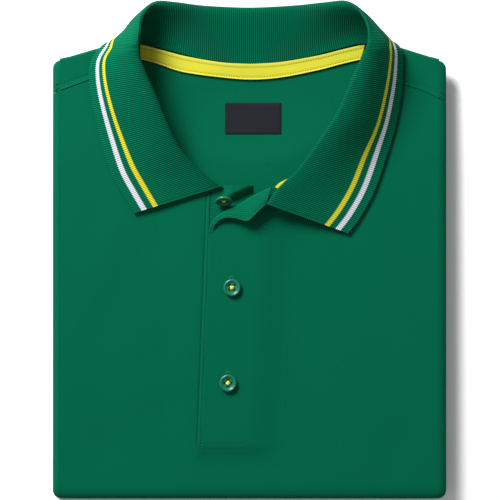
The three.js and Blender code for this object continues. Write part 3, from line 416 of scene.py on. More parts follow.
def front_height(x, y):
    """Height of the front panel: the top sheet, creased along the placket's left edge."""
    off = x - placket_left(y)
    beside = np.exp(-((off + 0.7) / 0.55) ** 2)
    return top_height(x, y) - 0.5 * beside * ease((y - PLACKET_FOOT_Y - 1) / 6)


def front_rows(depth, plan, nose, body, curl):
    """All rings of the front panel: round nose at the bottom fold, body, and the end of each part."""
    part = plan[None, :, 0]
    low = (part == 2) | (part == 3) | (part == 4)
    nose_y = BOTTOM_Y + NOSE_ROUND
    x = wrap_points(plan, np.zeros((1, 1)), 0.0, HALF_WIDTH, 1.0, 1.0, front_height)[..., 0]
    end = np.where(low, LOWER_FOLD_Y - LOWER_FOLD_ROUND, line_at(SHOULDER_SEAM, x) - SEAM_GAP / 2 - 4)
    turn = np.radians(90 * (np.arange(nose)[:, None] / nose) ** 1.5)
    full = np.sin(turn) ** 0.38
    y = nose_y - (NOSE_ROUND - depth) * np.cos(turn) + 0 * x
    width = half_width(nose_y - NOSE_ROUND * np.cos(turn)) - depth * (1 - full)
    start = wrap_points(plan, y, depth * full, width, full, full, front_height)
    y = nose_y + (end - nose_y) * np.arange(body)[:, None] / body
    middle = wrap_points(plan, y, depth + 0 * y, half_width(y), 1.0, 1.0, front_height)
    late = np.arange(curl + 1)[:, None] / curl
    turn = np.radians(80 * late)
    y = np.where(low, end + (LOWER_FOLD_ROUND - depth) * np.sin(turn), end + 4 * late)
    last = wrap_points(plan, y, np.where(low, depth * np.cos(turn), depth), HALF_WIDTH, 1.0,
                       np.where(low, np.cos(turn), 1.0), front_height)
    return np.concatenate([start, middle, last])


def make_front():
    """Front panel: one wall round the top, both side folds, the bottom fold and the underside."""
    plan = ring_plan(150, 9, 24)
    steps = (14, 150, 8)
    outer, inner = front_rows(0.0, plan, *steps), front_rows(JERSEY, plan, *steps)
    keep = cut_grid(outer, inner, collar_seam_outline(), True, CREASE_Z + 2)
    step = np.linalg.norm(np.diff(outer[60], axis=0, append=outer[60][:1]), axis=-1)
    u = np.concatenate([[0], np.cumsum(step)[:-1]])
    uv = np.stack([np.broadcast_to(u, outer.shape[:2]), outer[..., 1]], axis=-1) / MM_IN_CM
    piece = wall_piece("front_panel", outer, inner, uv, keep, closed=True)
    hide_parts("front")
    return piece


# Back panel

def back_rows(depth, x, sheet_steps, roll_steps, strip_steps):
    """Back panel for each x: flat inside the neck, round over the shoulder, forward to the seam."""
    edge_y = line_at(SHOULDER_EDGE, x)
    seam_y = line_at(SHOULDER_SEAM, x) + SEAM_GAP / 2
    top, low = top_height(x, edge_y), back_height(x, edge_y) - JERSEY
    radius = (top - low) / 2
    bend_y = edge_y - radius
    rows = []
    for k in range(sheet_steps + 1):
        y = 24 + (bend_y - 24) * k / sheet_steps
        rows.append(np.stack([x, y, back_height(x, y) - JERSEY + depth], axis=-1))
    for k in range(1, roll_steps):
        turn = math.radians(-90 + 180 * k / roll_steps)
        rows.append(np.stack([x, bend_y + (radius - depth) * math.cos(turn),
                              (top + low) / 2 + (radius - depth) * math.sin(turn)], axis=-1))
    for k in range(strip_steps + 1):
        y = bend_y + (seam_y - bend_y) * k / strip_steps
        folded = 0.5 * ease(1 - (y - seam_y) / 2.5)
        rows.append(np.stack([x, y, top_height(x, y) + folded - depth], axis=-1))
    return np.array(rows)


def make_back():
    """Back panel, with the neck cut out along the neckline."""
    x = np.linspace(-132.9, 132.9, 190)
    steps = (84, 8, 18)
    outer, inner = back_rows(0.0, x, *steps), back_rows(JERSEY, x, *steps)
    neckline = [(np.clip(a, NECK_LEFT, NECK_RIGHT), b) for a, b in BACK_NECKLINE]
    hole = np.array([(NECK_LEFT, 170), *neckline, (NECK_RIGHT, 170)])
    strip = np.array([(NECK_LEFT, 122), (NECK_RIGHT, 122), (NECK_RIGHT, 170), (NECK_LEFT, 170)])
    keep = cut_grid(outer, inner, hole, False, -5)
    centre = (outer[:-1, :-1] + outer[1:, 1:]) / 2
    above = (np.arange(len(outer) - 1)[:, None] > steps[0]) & (centre[..., 2] > 0)
    keep &= ~(inside_outline(strip, centre[..., 0], centre[..., 1]) & above)
    length = np.concatenate([np.zeros((1, len(x))), np.cumsum(
        np.linalg.norm(np.diff(outer, axis=0), axis=-1), axis=0)])
    uv = np.stack([np.broadcast_to(x, length.shape), length], axis=-1) / MM_IN_CM
    piece = wall_piece("back_panel", outer, inner, uv, keep)
    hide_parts("back")
    for side, name in ((-1, "right"), (1, "left")):
        make_shoulder_wrap(side, name)
    return piece


def shoulder_wrap_rows(depth, side, straight, corner, lobe):
    """Back strip round an upper side fold, drawn in to a quarter circle at the shoulder corner."""
    bend_y = line_at(SHOULDER_EDGE, side * HALF_WIDTH) - CORNER_ROUND
    i = np.arange(straight + corner + 1)[:, None]
    late = np.radians(84 * np.clip(i - straight, 0, None) / corner)
    flat = HALF_WIDTH - SIDE_ROUND - CORNER_ROUND * (1 - np.cos(late))
    swing = np.radians(90 - 165 * np.arange(lobe + 1)[None, :] / lobe)
    px = flat + (SIDE_ROUND - depth) * np.cos(swing)
    wide = side * np.minimum(HALF_WIDTH, px + HALF_WIDTH - SIDE_ROUND - flat)
    seam_y = line_at(SHOULDER_SEAM, wide) + SEAM_GAP / 2
    y = seam_y + (bend_y - seam_y) * np.minimum(1, i / straight) + CORNER_ROUND * np.sin(late)
    high = top_height(side * (HALF_WIDTH - SIDE_ROUND) + 0 * y, y)
    low = CREASE_Z + SEAM_GAP
    z = (high + low) / 2 + ((high - low) / 2 - depth) * np.sin(swing)
    return np.stack([side * px, y, z], axis=-1)


def make_shoulder_wrap(side, name):
    """The piece of the back panel that wraps an upper side fold."""
    outer, inner = (shoulder_wrap_rows(depth, side, 12, 12, 14) for depth in (0.0, JERSEY))
    length = np.concatenate([[0], np.cumsum(np.linalg.norm(np.diff(outer[0], axis=0), axis=-1))])
    round_side = side * (HALF_WIDTH - SIDE_ROUND + np.broadcast_to(length, outer.shape[:2]))
    uv = np.stack([round_side, outer[..., 1]], axis=-1) / MM_IN_CM
    piece = wall_piece("back_panel_wrap_" + name, outer, inner, uv)
    return piece


# Collar

def collar_sheet(stations, stand, fall):
    """Middle surface of the collar: two cubic curves per section, the stand and the fall."""
    row = along_table(COLLAR, stations)
    seam, fold, edge = row[:, None, 0:3], row[:, None, 3:6], row[:, None, 6:9]
    heading, rise, dip, arrive = np.radians(row[:, 9:13]).T[:, :, None, None]
    roll = row[:, 13][:, None, None]
    outward = np.concatenate([np.cos(heading), np.sin(heading), 0 * heading], axis=-1)
    up = np.array([0.0, 0.0, 1.0])
    crest = fold + outward * 2.5 * np.minimum(1, roll / 4) * np.cos(dip)
    over = outward * np.cos(dip) - up * np.sin(dip)
    leave = outward * np.cos(rise) + up * np.sin(rise)
    landing = outward * np.cos(arrive) - up * np.sin(arrive)
    flat = np.maximum(0, np.cos(rise))
    stand_reach = np.linalg.norm(crest - seam, axis=-1, keepdims=True) * (0.36 + 0.2 * flat)
    fall_reach = np.linalg.norm(edge - crest, axis=-1, keepdims=True) * 0.34
    curves = [
        (seam, seam + leave * stand_reach, crest - over * roll, crest, np.linspace(0, 1, stand)),
        (crest, crest + over * np.minimum(fall_reach, roll * 2.6 + 2), edge - landing * fall_reach, edge,
         np.linspace(0, 1, fall + 1)[1:])]
    parts = []
    for a, b, c, d, t in curves:
        t = t[None, :, None]
        parts.append(a * (1 - t) ** 3 + 3 * b * t * (1 - t) ** 2 + 3 * c * t * t * (1 - t) + d * t ** 3)
    return np.concatenate(parts, axis=1)


def make_collar():
    """Collar: one wall with a rib every 1.4 mm, its free edge and ends scalloped by the ribs.

    Its UV is the distance from the nearer end and from the free edge, and the second is drawn
    together towards the shoulders, where the knit is stretched. The attribute "stand" is 1 on the
    collar's inside, from the seam up to the fold, where the material darkens the green as painted shade."""
    rough = np.linspace(0, len(COLLAR) - 1, 1200)
    line = collar_sheet(rough, STAND_STEPS, FALL_STEPS)[:, RIB_COLUMN]
    total = np.concatenate([[0], np.cumsum(np.linalg.norm(np.diff(line, axis=0), axis=-1))])
    count = int(total[-1] / RIB * 2)
    stations = np.interp(np.arange(count + 1) * RIB / 2, total, rough)
    sheet = collar_sheet(stations, STAND_STEPS, FALL_STEPS)
    across = np.linalg.norm(np.diff(sheet, axis=1), axis=-1)[:, ::-1]
    from_edge = np.concatenate([np.zeros((len(sheet), 1)), np.cumsum(across, axis=1)], axis=1)[:, ::-1]
    ridge = np.where(np.arange(len(sheet)) % 2 == 0, 1.0, -1.0)[:, None]
    relief = 0.11 * ridge * (ease(from_edge / 3) * 0.5 + 0.5)
    tangent = np.gradient(sheet, axis=1)
    tangent /= np.linalg.norm(tangent, axis=-1, keepdims=True)
    sheet[:, -1] += tangent[:, -1] * 0.16 * ridge
    along = np.arange(len(sheet)) * RIB / 2
    from_end = np.broadcast_to(np.minimum(along, along[-1] - along)[:, None], from_edge.shape)
    start = np.where(sheet[:, -1:, 0] > 0, 50, 25)
    drawn = ease((from_end - start) / (80 - start))
    knitted = from_edge + drawn * (0.27 * np.maximum(0, from_edge - 8.3) - 0.7)
    uv = np.stack([from_end, knitted], axis=-1) / MM_IN_CM
    piece = sheet_piece("collar_knit", sheet, COLLAR_WALL, uv, relief)
    # Painted shade: "stand" is 1 from the seam to the fold, where the collar material turns the green darker.
    stand = ease((16 - np.arange(sheet.shape[1])) / 6)[None, :]
    stand = np.broadcast_to(stand, from_edge.shape).ravel()
    inner = piece.data.attributes.new("stand", "FLOAT", "POINT")
    inner.data.foreach_set("value", np.concatenate([stand, stand]).astype(np.float32))
    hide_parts("collar")
    return piece


# Hidden layers and sleeves

# Layers between, from the bottom fold to the shoulders. Columns: y, lower face, drop of the
# upper face under the back panel, draw of the sides
STACK = np.array([
    (-172.4, 7.4, 3.6, 6), (-171, 5, 1.6, 4.4), (-168, 2.9, 0.5, 2), (-163, 1.6, 0, 0), (-60, 1.6, 0, 0),
    (60, 1.6, 0, 0), (100, 1.6, 0, 0), (104, 3.4, 0, 0), (106.4, 8.3, 0, 0), (109, 8.4, 0, 0), (113, 7, 0, 0),
    (121, 7, 0.2, 0), (124.4, 7.6, 1, 0.6), (126, 8.6, 2, 2)])

# Folded end of a sleeve seen along x: columns y, z
SLEEVE_OUTLINE = np.array([
    (108.9, 1.8), (110.6, 0.5), (122, 0.5), (125.6, 1.2), (126.6, 2.4), (125, 3.4), (126.4, 4.6),
    (125.2, 6), (121.6, 6.6), (113, 6.6), (109.6, 6.2), (108.7, 4.6)])


def loft(name, rings):
    """A closed solid through rings of points, each end drawn in to a small ring closed by strips."""
    middles = [ring.mean(axis=0) for ring in (rings[0], rings[-1])]
    first = middles[0] + (rings[:1] - middles[0]) * 0.02
    last = middles[1] + (rings[-1:] - middles[1]) * 0.02
    rings = np.concatenate([first, rings, last])
    rows, columns = rings.shape[:2]
    caps = []
    for start, turn in ((0, 1), ((rows - 1) * columns, -1)):
        for k in range(1, columns // 2):
            near, far = start + k, start + columns - k
            caps.append([near, near - 1, far, far - 1][::turn])
    points = rings.reshape(-1, 3)
    quads = np.concatenate([grid_quads(rows, columns, True), caps])
    return add_mesh(name, points, quads, points[:, :2] / MM_IN_CM, 60)


def make_core():
    """The hidden layers between front and back, with grooved sides where the folds lie."""
    k = np.linspace(0, 1, 60)
    rings = []
    for y, low, drop, draw in STACK:
        wide = 131.2 - draw
        half = wide - 3
        x = -half + 2 * half * k
        high = back_height(x, y) - JERSEY - 2 * SEAM_GAP - drop
        middle = (high[-1] + low) / 2
        groove = wide - 1.8
        side = [(wide, (high[-1] + middle) / 2), (groove, middle), (wide, (low + middle) / 2)]
        ring = [*zip(x, high), *side, *zip(x[::-1], np.full(60, low)), *[(-a, b) for a, b in side[::-1]]]
        rings.append([(a, y, b) for a, b in ring])
    piece = loft("folded_core", np.array(rings))
    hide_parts("folded_layers")
    return piece


def closed_curve(rows, each):
    """Smooth closed curve through the rows, by the Catmull-Rom formula."""
    ring = np.concatenate([rows[-1:], rows, rows[:2]])
    return along_table(ring, 1 + np.arange(len(rows) * each) / each)


def make_sleeve(side, name):
    """The folded end of a sleeve that shows under a shoulder, two layers thick at the edge."""
    outline = closed_curve(SLEEVE_OUTLINE, 4)
    rings = []
    for x in np.concatenate([[7, 9], np.linspace(14, 126, 40), [130.4]]):
        shrink = 0.5 if x == 7 else 0.6 if x == 130.4 else 0
        wave = 0.5 * math.sin(x / 13 + side) + 0.3 * math.sin(x / 5.7)
        y, z = outline[:, 0], outline[:, 1]
        in_y = np.sign(117 - y) * shrink + wave * ease((y - 117) / 8)
        rings.append(np.stack([np.full(len(y), side * x), y + in_y, z + shrink * np.sign(3.4 - z)], axis=-1))
    piece = loft("sleeve_fold_" + name, np.array(rings))
    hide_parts("sleeve_" + name)
    return piece


# Tape and label

def make_tape():
    """Neck tape on the back panel: straight across between the rows of its table."""
    s = np.linspace(1, 9, 260)
    row = along_table(TAPE, s)
    t = np.linspace(-0.07, 1, 14)[None, :, None]
    plan = row[:, None, 0:2] * (1 - t) + row[:, None, 2:4] * t
    x, y = plan[..., 0], plan[..., 1]
    middle = back_height(x, y) + 1.6 * SEAM_GAP + TAPE_WALL / 2 + 0.5 * ease(1 - t[..., 0] / 0.3)
    sheet = np.concatenate([plan, middle[..., None]], axis=-1)
    width = np.linalg.norm(row[:, 2:4] - row[:, 0:2], axis=-1)[:, None]
    step = np.linalg.norm(np.diff(sheet[:, 6], axis=0, prepend=sheet[:1, 6]), axis=-1).cumsum()[:, None]
    across = t[..., 0] * width
    relief = -0.25 * np.exp(-((np.minimum(across, width - across) - 1.4) / 0.4) ** 2)
    uv = np.stack([np.broadcast_to(step, across.shape), t[..., 0] + 0 * width], axis=-1) * [0.1, 1]
    piece = sheet_piece("neck_tape_band", sheet, TAPE_WALL, uv, relief)
    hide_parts("neck_tape")
    return piece, sheet


def make_tape_end():
    """The tape's end between lapel and collar, inward of the collar's seam."""
    t = np.linspace(0, 1, 40)
    row = along_table(COLLAR, len(COLLAR) - 1 - (1.72 - 0.66 * t))
    heading = np.radians(row[:, 9])
    inward = np.stack([-np.cos(heading), -np.sin(heading), 0 * heading], axis=-1)
    width = 2.1 + 1.2 * np.sin(np.pi * t)
    k = np.linspace(0, 1, 9)
    sheet = row[:, None, 0:3] + inward[:, None] * (1.95 + width[:, None] * k)[..., None]
    uv = np.stack(np.broadcast_arrays(t[:, None] * 1.5, k[None, :]), axis=-1)
    piece = sheet_piece("neck_tape_tip", sheet, TAPE_WALL, uv)
    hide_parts("neck_tape_end")
    return piece


def make_label():
    """A thin plain patch on the inside of the back, its edges dipping a little."""
    y, x = np.meshgrid(np.linspace(LABEL_LOW, LABEL_HIGH, 34), np.linspace(LABEL_LEFT, LABEL_RIGHT, 56),
                       indexing="ij")
    edge = np.minimum(np.minimum(x - LABEL_LEFT, LABEL_RIGHT - x), np.minimum(y - LABEL_LOW, LABEL_HIGH - y))
    ripple = 0.12 * np.sin(x / 7) * ease(edge / 5)
    z = back_height(x, y) + SEAM_GAP + 0.25 + ripple - 0.2 * np.exp(-(edge / 0.7) ** 2)
    uv = np.stack([x, y], axis=-1) / MM_IN_CM
    piece = sheet_piece("label_patch", np.stack([x, y, z], axis=-1), 0.5, uv)
    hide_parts("neck_label")
    return piece


# Placket

def hem(inset, depth, width):
    """A stitched groove at an inset from an edge: a bell of that depth and width."""
    return lambda d: -depth * np.exp(-((d - inset) / width) ** 2)


def lapel_sheet(s, across):
    """Lapel sections: flat under, half round over the roll line, flat back to the free boundary."""
    row = along_table(LAPEL, s)
    fold, free, roll = row[:, 0:2], row[:, 2:4], row[:, 5:6]
    back = free - fold
    reach = np.linalg.norm(back, axis=-1, keepdims=True)
    back = back / reach
    width = np.maximum(reach, roll + 0.6)
    level = STACK_HEIGHT + SEAM_GAP + PLACKET_WALL / 2 + row[:, 6:7]
    high = level + 2 * roll
    turn = np.radians(np.linspace(-90, 90, across))[None, :]
    t = np.linspace(0, 1, across)[None, 1:]
    away = np.concatenate([width + 1.5, (width + roll) / 2 + 0.6, roll * (1 - np.cos(turn)),
                           roll + (width - roll) * t], axis=1)
    lift = np.concatenate([0 * width + level, 0 * width + level, level + roll * (1 + np.sin(turn)),
                           high + (row[:, 4:5] - high) * t ** 1.3 + 0.25 * roll * np.sin(np.pi * t)], axis=1)
    lift = level + (lift - level) * (0.15 + 0.85 * ease(s / 1.5))[:, None]
    plan = fold[:, None] + back[:, None] * away[..., None]
    return np.concatenate([plan, lift[..., None]], axis=-1)


def placket_cover(off, y):
    """Height of the upper placket over the front, off its left edge: a full step at that edge, and
    an eased fall to nothing beyond its right side and round its foot, where it runs into the front."""
    beyond = 1 - ease((off - PLACKET_WIDTH) / 25)
    foot = ease((y - PLACKET_FOOT_Y + 8) / 14)
    return (SEAM_GAP + PLACKET_WALL) * beyond * foot + 0.04


def make_placket():
    """Upper placket: a strip cut off at the roll line, and its top turned back as a lapel."""
    off = np.concatenate([np.linspace(0, 3, 13), np.linspace(3.8, PLACKET_WIDTH, 38),
                          np.linspace(35, 60, 22)])
    y = np.concatenate([np.linspace(PLACKET_FOOT_Y - 10, PLACKET_FOOT_Y + 8, 34),
                        np.linspace(PLACKET_FOOT_Y + 9, 44, 186)])
    y, off = np.meshgrid(y, off, indexing="ij")
    x = placket_left(y) + off
    foot = y - PLACKET_FOOT_Y
    boxed = ease((PLACKET_WIDTH + 1 - off) / 2) * ease((foot + 1) / 2)
    groove = hem(1.7, 0.22, 0.5)
    relief = groove(off) * ease(foot / 3) + (hem(0.4, 0.18, 0.5)(foot) + hem(4.8, 0.18, 0.5)(foot)) * boxed
    relief = relief - 0.25 * np.exp(-(off / 0.5) ** 2) * ease(foot / 4)
    relief = relief + 0.12 * np.sin(y / 9 + 1) * np.exp(-(off / 5) ** 2) * ease((foot - 4) / 8)
    cover = placket_cover(off, y)
    base = top_height(x, y)
    outer = np.stack([x, y, base + np.maximum(cover + relief, 0.03)], axis=-1)
    inner = np.stack([x, y, base + np.maximum(0.01, cover - PLACKET_WALL)], axis=-1)
    opening = np.array([*[(a + 0.6, b - 1.2) for a, b in LAPEL[:, :2]], (40, 60), (-60, 60), (-60, 10.0)])
    keep = cut_grid(outer, inner, opening, False, -1)
    points, quads = wall(outer, inner, keep)
    uv = np.concatenate([(outer[..., :2] + [HALF_WIDTH - SIDE_ROUND, 0]).reshape(-1, 2)] * 2) / MM_IN_CM
    points, quads, uv = drop_unused(points, quads, uv)
    rows = 90
    folded = lapel_sheet(np.linspace(0, len(LAPEL) - 1, rows), 12)
    step = np.linalg.norm(np.diff(folded, axis=1), axis=-1).cumsum(axis=1)
    step = np.concatenate([np.zeros((rows, 1)), step], axis=1)
    length = np.linalg.norm(np.diff(folded[:, -1], axis=0, prepend=folded[:1, -1]), axis=-1).cumsum()
    curl = -0.3 * np.exp(-((step[:, -1:] - step - 1.8) / 0.5) ** 2)
    n = normals(folded)
    lapel_points, lapel_quads = wall(folded + n * PLACKET_WALL / 2,
                                     folded - n * (PLACKET_WALL / 2 + curl[..., None]))
    lapel_uv = np.stack([length[:, None] + 0 * step, step], axis=-1).reshape(-1, 2)
    quads = facing_out(points, quads)
    lapel_quads = facing_out(lapel_points, lapel_quads) + len(points)
    piece = add_mesh("placket_band", np.concatenate([points, lapel_points]),
                     np.concatenate([quads, lapel_quads]),
                     np.concatenate([uv, lapel_uv / MM_IN_CM, lapel_uv / MM_IN_CM]))
    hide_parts("placket_upper")
    return piece, folded


def under_rise(x, y):
    """How far the under placket's top end rises towards the neck: an eased slope of 5 mm."""
    start = 36.5 + 0.45 * (x + 4)
    return 5 * ease((x + 19.5) / 7.5) * ease((y - start) / 7.5)


def make_placket_under():
    """Under placket: a strip below the upper one, its top end raised at the open neck."""
    y = np.concatenate([np.linspace(PLACKET_FOOT_Y + 6.4, 20, 60), np.linspace(20.5, 45.2, 60)])
    inset = SLIT_MARGIN + SEAM_GAP
    y, off = np.meshgrid(y, np.linspace(inset, PLACKET_WIDTH - inset, 56), indexing="ij")
    x = placket_left(y) + off
    sheet = np.stack([x, y, top_height(x, y) - PLACKET_WALL / 2 + under_rise(x, y)], axis=-1)
    groove = hem(0.6, 0.25, 0.5)
    relief = groove(off - inset) - hem(1.6, 0.2, 0.5)(PLACKET_WIDTH - inset - off)
    piece = sheet_piece("placket_lower_band", sheet, PLACKET_WALL - 0.2, sheet[..., :2] / MM_IN_CM,
                        relief)
    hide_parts("placket_under")
    return piece


# Buttons

# Half outline of a button: columns distance from its axis, height
BUTTON_PROFILE = np.array([
    (0.001, 0), (3.8, 0), (5.67, 0.7), (6.1, 1.4), (5.86, 2.2), (5.12, 2.6), (4.39, 2.3), (3.66, 1.7),
    (2.4, 1.5), (0.001, 1.5)])

# Columns: x, y, lift over the front, tilt, turn in degrees
BUTTONS = {
    "top": (-17.9, 35.2, 4.8, 61, 10),
    "middle": (-12.2, -26.5, 2 * SEAM_GAP + PLACKET_WALL, 0, 0),
    "bottom": (-15.0, -93.3, 2 * SEAM_GAP + PLACKET_WALL, 0, 45)}


def placed(points, button):
    """Points of a button turned, tilted and moved to its place."""
    x, y, lift, tilt, turn = button
    a, b = math.radians(turn), math.radians(tilt)
    p = points @ np.array([[math.cos(a), math.sin(a), 0], [-math.sin(a), math.cos(a), 0], [0, 0, 1]])
    p = p @ np.array([[1, 0, 0], [0, math.cos(b), math.sin(b)], [0, -math.sin(b), math.cos(b)]])
    return p + [x, y, float(top_height(np.array(x), np.array(y))) + lift]


def make_button(name):
    """Button: a profile turned round its axis, with four holes pressed into the dish."""
    profile = along_table(BUTTON_PROFILE, np.linspace(0, len(BUTTON_PROFILE) - 1, BUTTON_ROWS))
    turn = np.linspace(0, 2 * np.pi, BUTTON_COLUMNS, endpoint=False)[None, :]
    r, z = np.abs(profile[:, 0:1]), profile[:, 1:2]
    x, y = r * np.cos(turn), r * np.sin(turn)
    from_hole = np.hypot(np.abs(x) - HOLE_PLACE, np.abs(y) - HOLE_PLACE)
    in_dish = (np.arange(BUTTON_ROWS) > DISH_ROW)[:, None]
    sunk = np.where(in_dish, 1.3 * ease((1.05 - from_hole) / 0.3), 0)
    points = placed(np.stack([x, y, z - sunk], axis=-1).reshape(-1, 3), BUTTONS[name])
    uv = np.stack([x, y], axis=-1).reshape(-1, 2) / MM_IN_CM
    quads = grid_quads(BUTTON_ROWS, BUTTON_COLUMNS, True)
    piece = add_mesh("button_disc_" + name, points, quads, uv, 40)
    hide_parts("button_" + name)
    return piece


# Sewing

def points_along(line, step, at):
    """Points of a line at distances from its start, straight between the points of the line."""
    return np.stack([np.interp(at, step, line[:, k]) for k in range(3)], axis=-1)


def stitches(name, lines, length, pitch, radius, shift=0.0):
    """Rows of stitches: small spindles every pitch along each line, their ends sinking in."""
    centres, ways = [], []
    for line in lines:
        step = np.concatenate([[0], np.linalg.norm(np.diff(line, axis=0), axis=-1).cumsum()])
        at = np.arange(pitch * (0.5 + shift), step[-1], pitch)
        centres.append(points_along(line, step, at))
        ways.append(points_along(line, step, at + 0.4) - points_along(line, step, at - 0.4))
    return spindles(name, np.concatenate(centres), np.concatenate(ways), length, radius)


def spindles(name, centre, way, length, radius):
    """One small six-sided spindle at each centre, pointing its way."""
    way = way / np.linalg.norm(way, axis=-1, keepdims=True)
    side = np.cross(way, [0, 0, 1.0])
    side /= np.linalg.norm(side, axis=-1, keepdims=True)
    up = np.cross(side, way)
    t = np.array([-1, -0.6, 0, 0.6, 1])
    thick = radius * np.array([0.35, 0.85, 1, 0.85, 0.35])
    sink = -radius * np.array([1.1, 0.2, 0, 0.2, 1.1])
    turn = np.arange(6) * np.pi / 3
    points = (centre[:, None, None] + way[:, None, None] * (t * length / 2)[None, :, None, None]
              + side[:, None, None] * (thick[:, None] * np.cos(turn))[None, :, :, None]
              + up[:, None, None] * (thick[:, None] * np.sin(turn) + sink[:, None])[None, :, :, None])
    ends = [[0, 3, 2, 1], [0, 5, 4, 3], [24, 25, 26, 27], [24, 27, 28, 29]]
    one = np.concatenate([grid_quads(5, 6, True), ends])
    quads = (np.arange(len(centre))[:, None, None] * 30 + one).reshape(-1, 4)
    points = points.reshape(-1, 3)
    return add_mesh(name, points, quads, points[:, :2] / MM_IN_CM, 80)


def on_front(x, y, rise):
    """Points on the top sheet at a rise over it."""
    return np.stack([x, y, top_height(x, y) + rise], axis=-1)


def make_sewing(tape_sheet, lapel):
    """Topstitching along the seams, the placket, its foot, the lapel and the tape, each row with
    small dark spindles between its stitches, painted shade of the needle holes."""
    seams = []
    for x in (np.linspace(-137, -110, 40), np.linspace(110, 137, 40)):
        for up in (2.0, 5.2):
            seams.append(on_front(x, line_at(SHOULDER_SEAM, x) + up, 0.02))
    foot = PLACKET_FOOT_Y
    y = np.linspace(foot + 1, 14, 160)
    off = np.full(160, 1.7)
    placket = [on_front(placket_left(y) + off, y, placket_cover(off, y) - 0.16)]
    for start, end, left, right in ((0.4, -0.5, 1.0, PLACKET_WIDTH), (4.8, 3.9, 2.6, PLACKET_WIDTH)):
        off = np.linspace(left, right, 40)
        y = foot + np.linspace(start, end, 40)
        placket.append(on_front(placket_left(y) + off, y, placket_cover(off, y) - 0.12))
    y = np.linspace(foot - 0.5, foot + 3.9, 12)
    off = np.full(12, PLACKET_WIDTH)
    placket.append(on_front(placket_left(y) + off, y, placket_cover(off, y) - 0.12))
    y = np.linspace(20, 40, 30)
    under = [on_front(placket_left(y) + SLIT_MARGIN + SEAM_GAP + 0.6, y, -0.2)]
    edge = lapel[:, -3] + [0, 0, PLACKET_WALL / 2 - 0.2]
    rows = [*seams, *placket, *under, edge[10:84]]
    tape_rows = [tape_sheet[:, k] + [0, 0, TAPE_WALL / 2 - 0.12] for k in (3, 11)]
    return [stitches("seam_stitches", rows, 1.5, 2.05, 0.2),
            # Painted shade: dark spindles between the stitches stand in for the shade in the needle holes.
            stitches("needle_hole_shade", rows, 0.75, 2.05, 0.24, shift=0.5),
            stitches("tape_stitches", tape_rows, 1.3, 1.8, 0.2)]


def make_buttonhole(name):
    """Buttonhole: a ring of close stitches round a slit that runs down under the button."""
    x, y = BUTTONS[name][:2]
    y = y + 0.6
    half = 7.2
    turn = np.linspace(0, 2 * np.pi, 84, endpoint=False)
    px = x + 1.35 * np.cos(turn)
    py = y + np.sign(np.sin(turn)) * half * np.abs(np.sin(turn)) ** 0.3
    centre = on_front(px, py, SEAM_GAP + PLACKET_WALL + 0.05)
    at_end = np.exp(-((np.abs(py - y) - half) / 0.6) ** 2)
    way = np.stack([np.cos(turn), np.sin(turn) * at_end, 0 * turn], axis=-1)
    way[np.linalg.norm(way, axis=-1) < 0.05] = [1, 0, 0]
    return spindles("buttonhole_" + name, centre, way, 1.7, 0.24)


def make_button_thread(name):
    """Two crossed bundles of thread between the button's holes, three strands each."""
    k = np.linspace(-1, 1, 3)[:, None] * 0.3
    centre, way = [], []
    for sign in (-1, 1):
        across = np.array([1, -sign, 0]) / math.sqrt(2)
        centre.append(across * k + [0, 0, 1.7 + 0.2 * (sign > 0)])
        way.append(np.tile([1.0, sign, 0.0], (3, 1)))
    centre, way = np.concatenate(centre), np.concatenate(way)
    here, there = placed(centre, BUTTONS[name]), placed(centre + way, BUTTONS[name])
    return spindles("button_thread_" + name, here, there - here, 3.3, 0.42)


# Materials

def new_group(name, inputs, outputs):
    """An empty shader node group with named number or vector inputs and number outputs."""
    group = bpy.data.node_groups.new(name, "ShaderNodeTree")
    for label, kind in inputs:
        group.interface.new_socket(name=label, in_out="INPUT", socket_type=kind)
    for label in outputs:
        group.interface.new_socket(name=label, in_out="OUTPUT", socket_type="NodeSocketFloat")
    return group, group.nodes.new("NodeGroupInput"), group.nodes.new("NodeGroupOutput")


def maths(tree, operation, *values):
    """A Math node with numbers or sockets as its inputs; gives its output socket."""
    node = tree.nodes.new("ShaderNodeMath")
    node.operation = operation
    for k, value in enumerate(values):
        if isinstance(value, (int, float)):
            node.inputs[k].default_value = value
        else:
            tree.links.new(value, node.inputs[k])
    return node.outputs[0]


def split(tree, vector):
    """The first and second numbers of a vector."""
    parts = tree.nodes.new("ShaderNodeSeparateXYZ")
    tree.links.new(vector, parts.inputs[0])
    return parts.outputs[0], parts.outputs[1]


def sine_wave(tree, distance, pitch):
    """A wave between 0 and 1: half the sine of the distance, once every pitch, plus a half."""
    sine = maths(tree, "SINE", maths(tree, "MULTIPLY", distance, 2 * math.pi / pitch))
    return maths(tree, "MULTIPLY_ADD", sine, 0.5, 0.5)


def birdseye_group():
    """Fine diagonal cells: a strong sine wave along one diagonal and a weak one along the other."""
    inputs = [("Vector", "NodeSocketVector"), ("Pitch", "NodeSocketFloat")]
    group, entry, leave = new_group("birdseye cells", inputs, ["Cells", "Cloud"])
    u, v = split(group, entry.outputs["Vector"])
    scale = maths(group, "DIVIDE", math.sqrt(2) * math.pi, entry.outputs["Pitch"])
    total = 0.5
    for operation, share in (("ADD", 0.2), ("SUBTRACT", 0.3)):
        diagonal = maths(group, operation, u, v)
        wave = maths(group, "SINE", maths(group, "MULTIPLY", diagonal, scale))
        total = maths(group, "MULTIPLY_ADD", wave, share, total)
    group.links.new(total, leave.inputs["Cells"])
    cloud = group.nodes.new("ShaderNodeTexNoise")
    cloud.inputs["Scale"].default_value = 0.35
    cloud.inputs["Detail"].default_value = 4
    group.links.new(entry.outputs["Vector"], cloud.inputs["Vector"])
    group.links.new(cloud.outputs[0], leave.inputs["Cloud"])
    return group


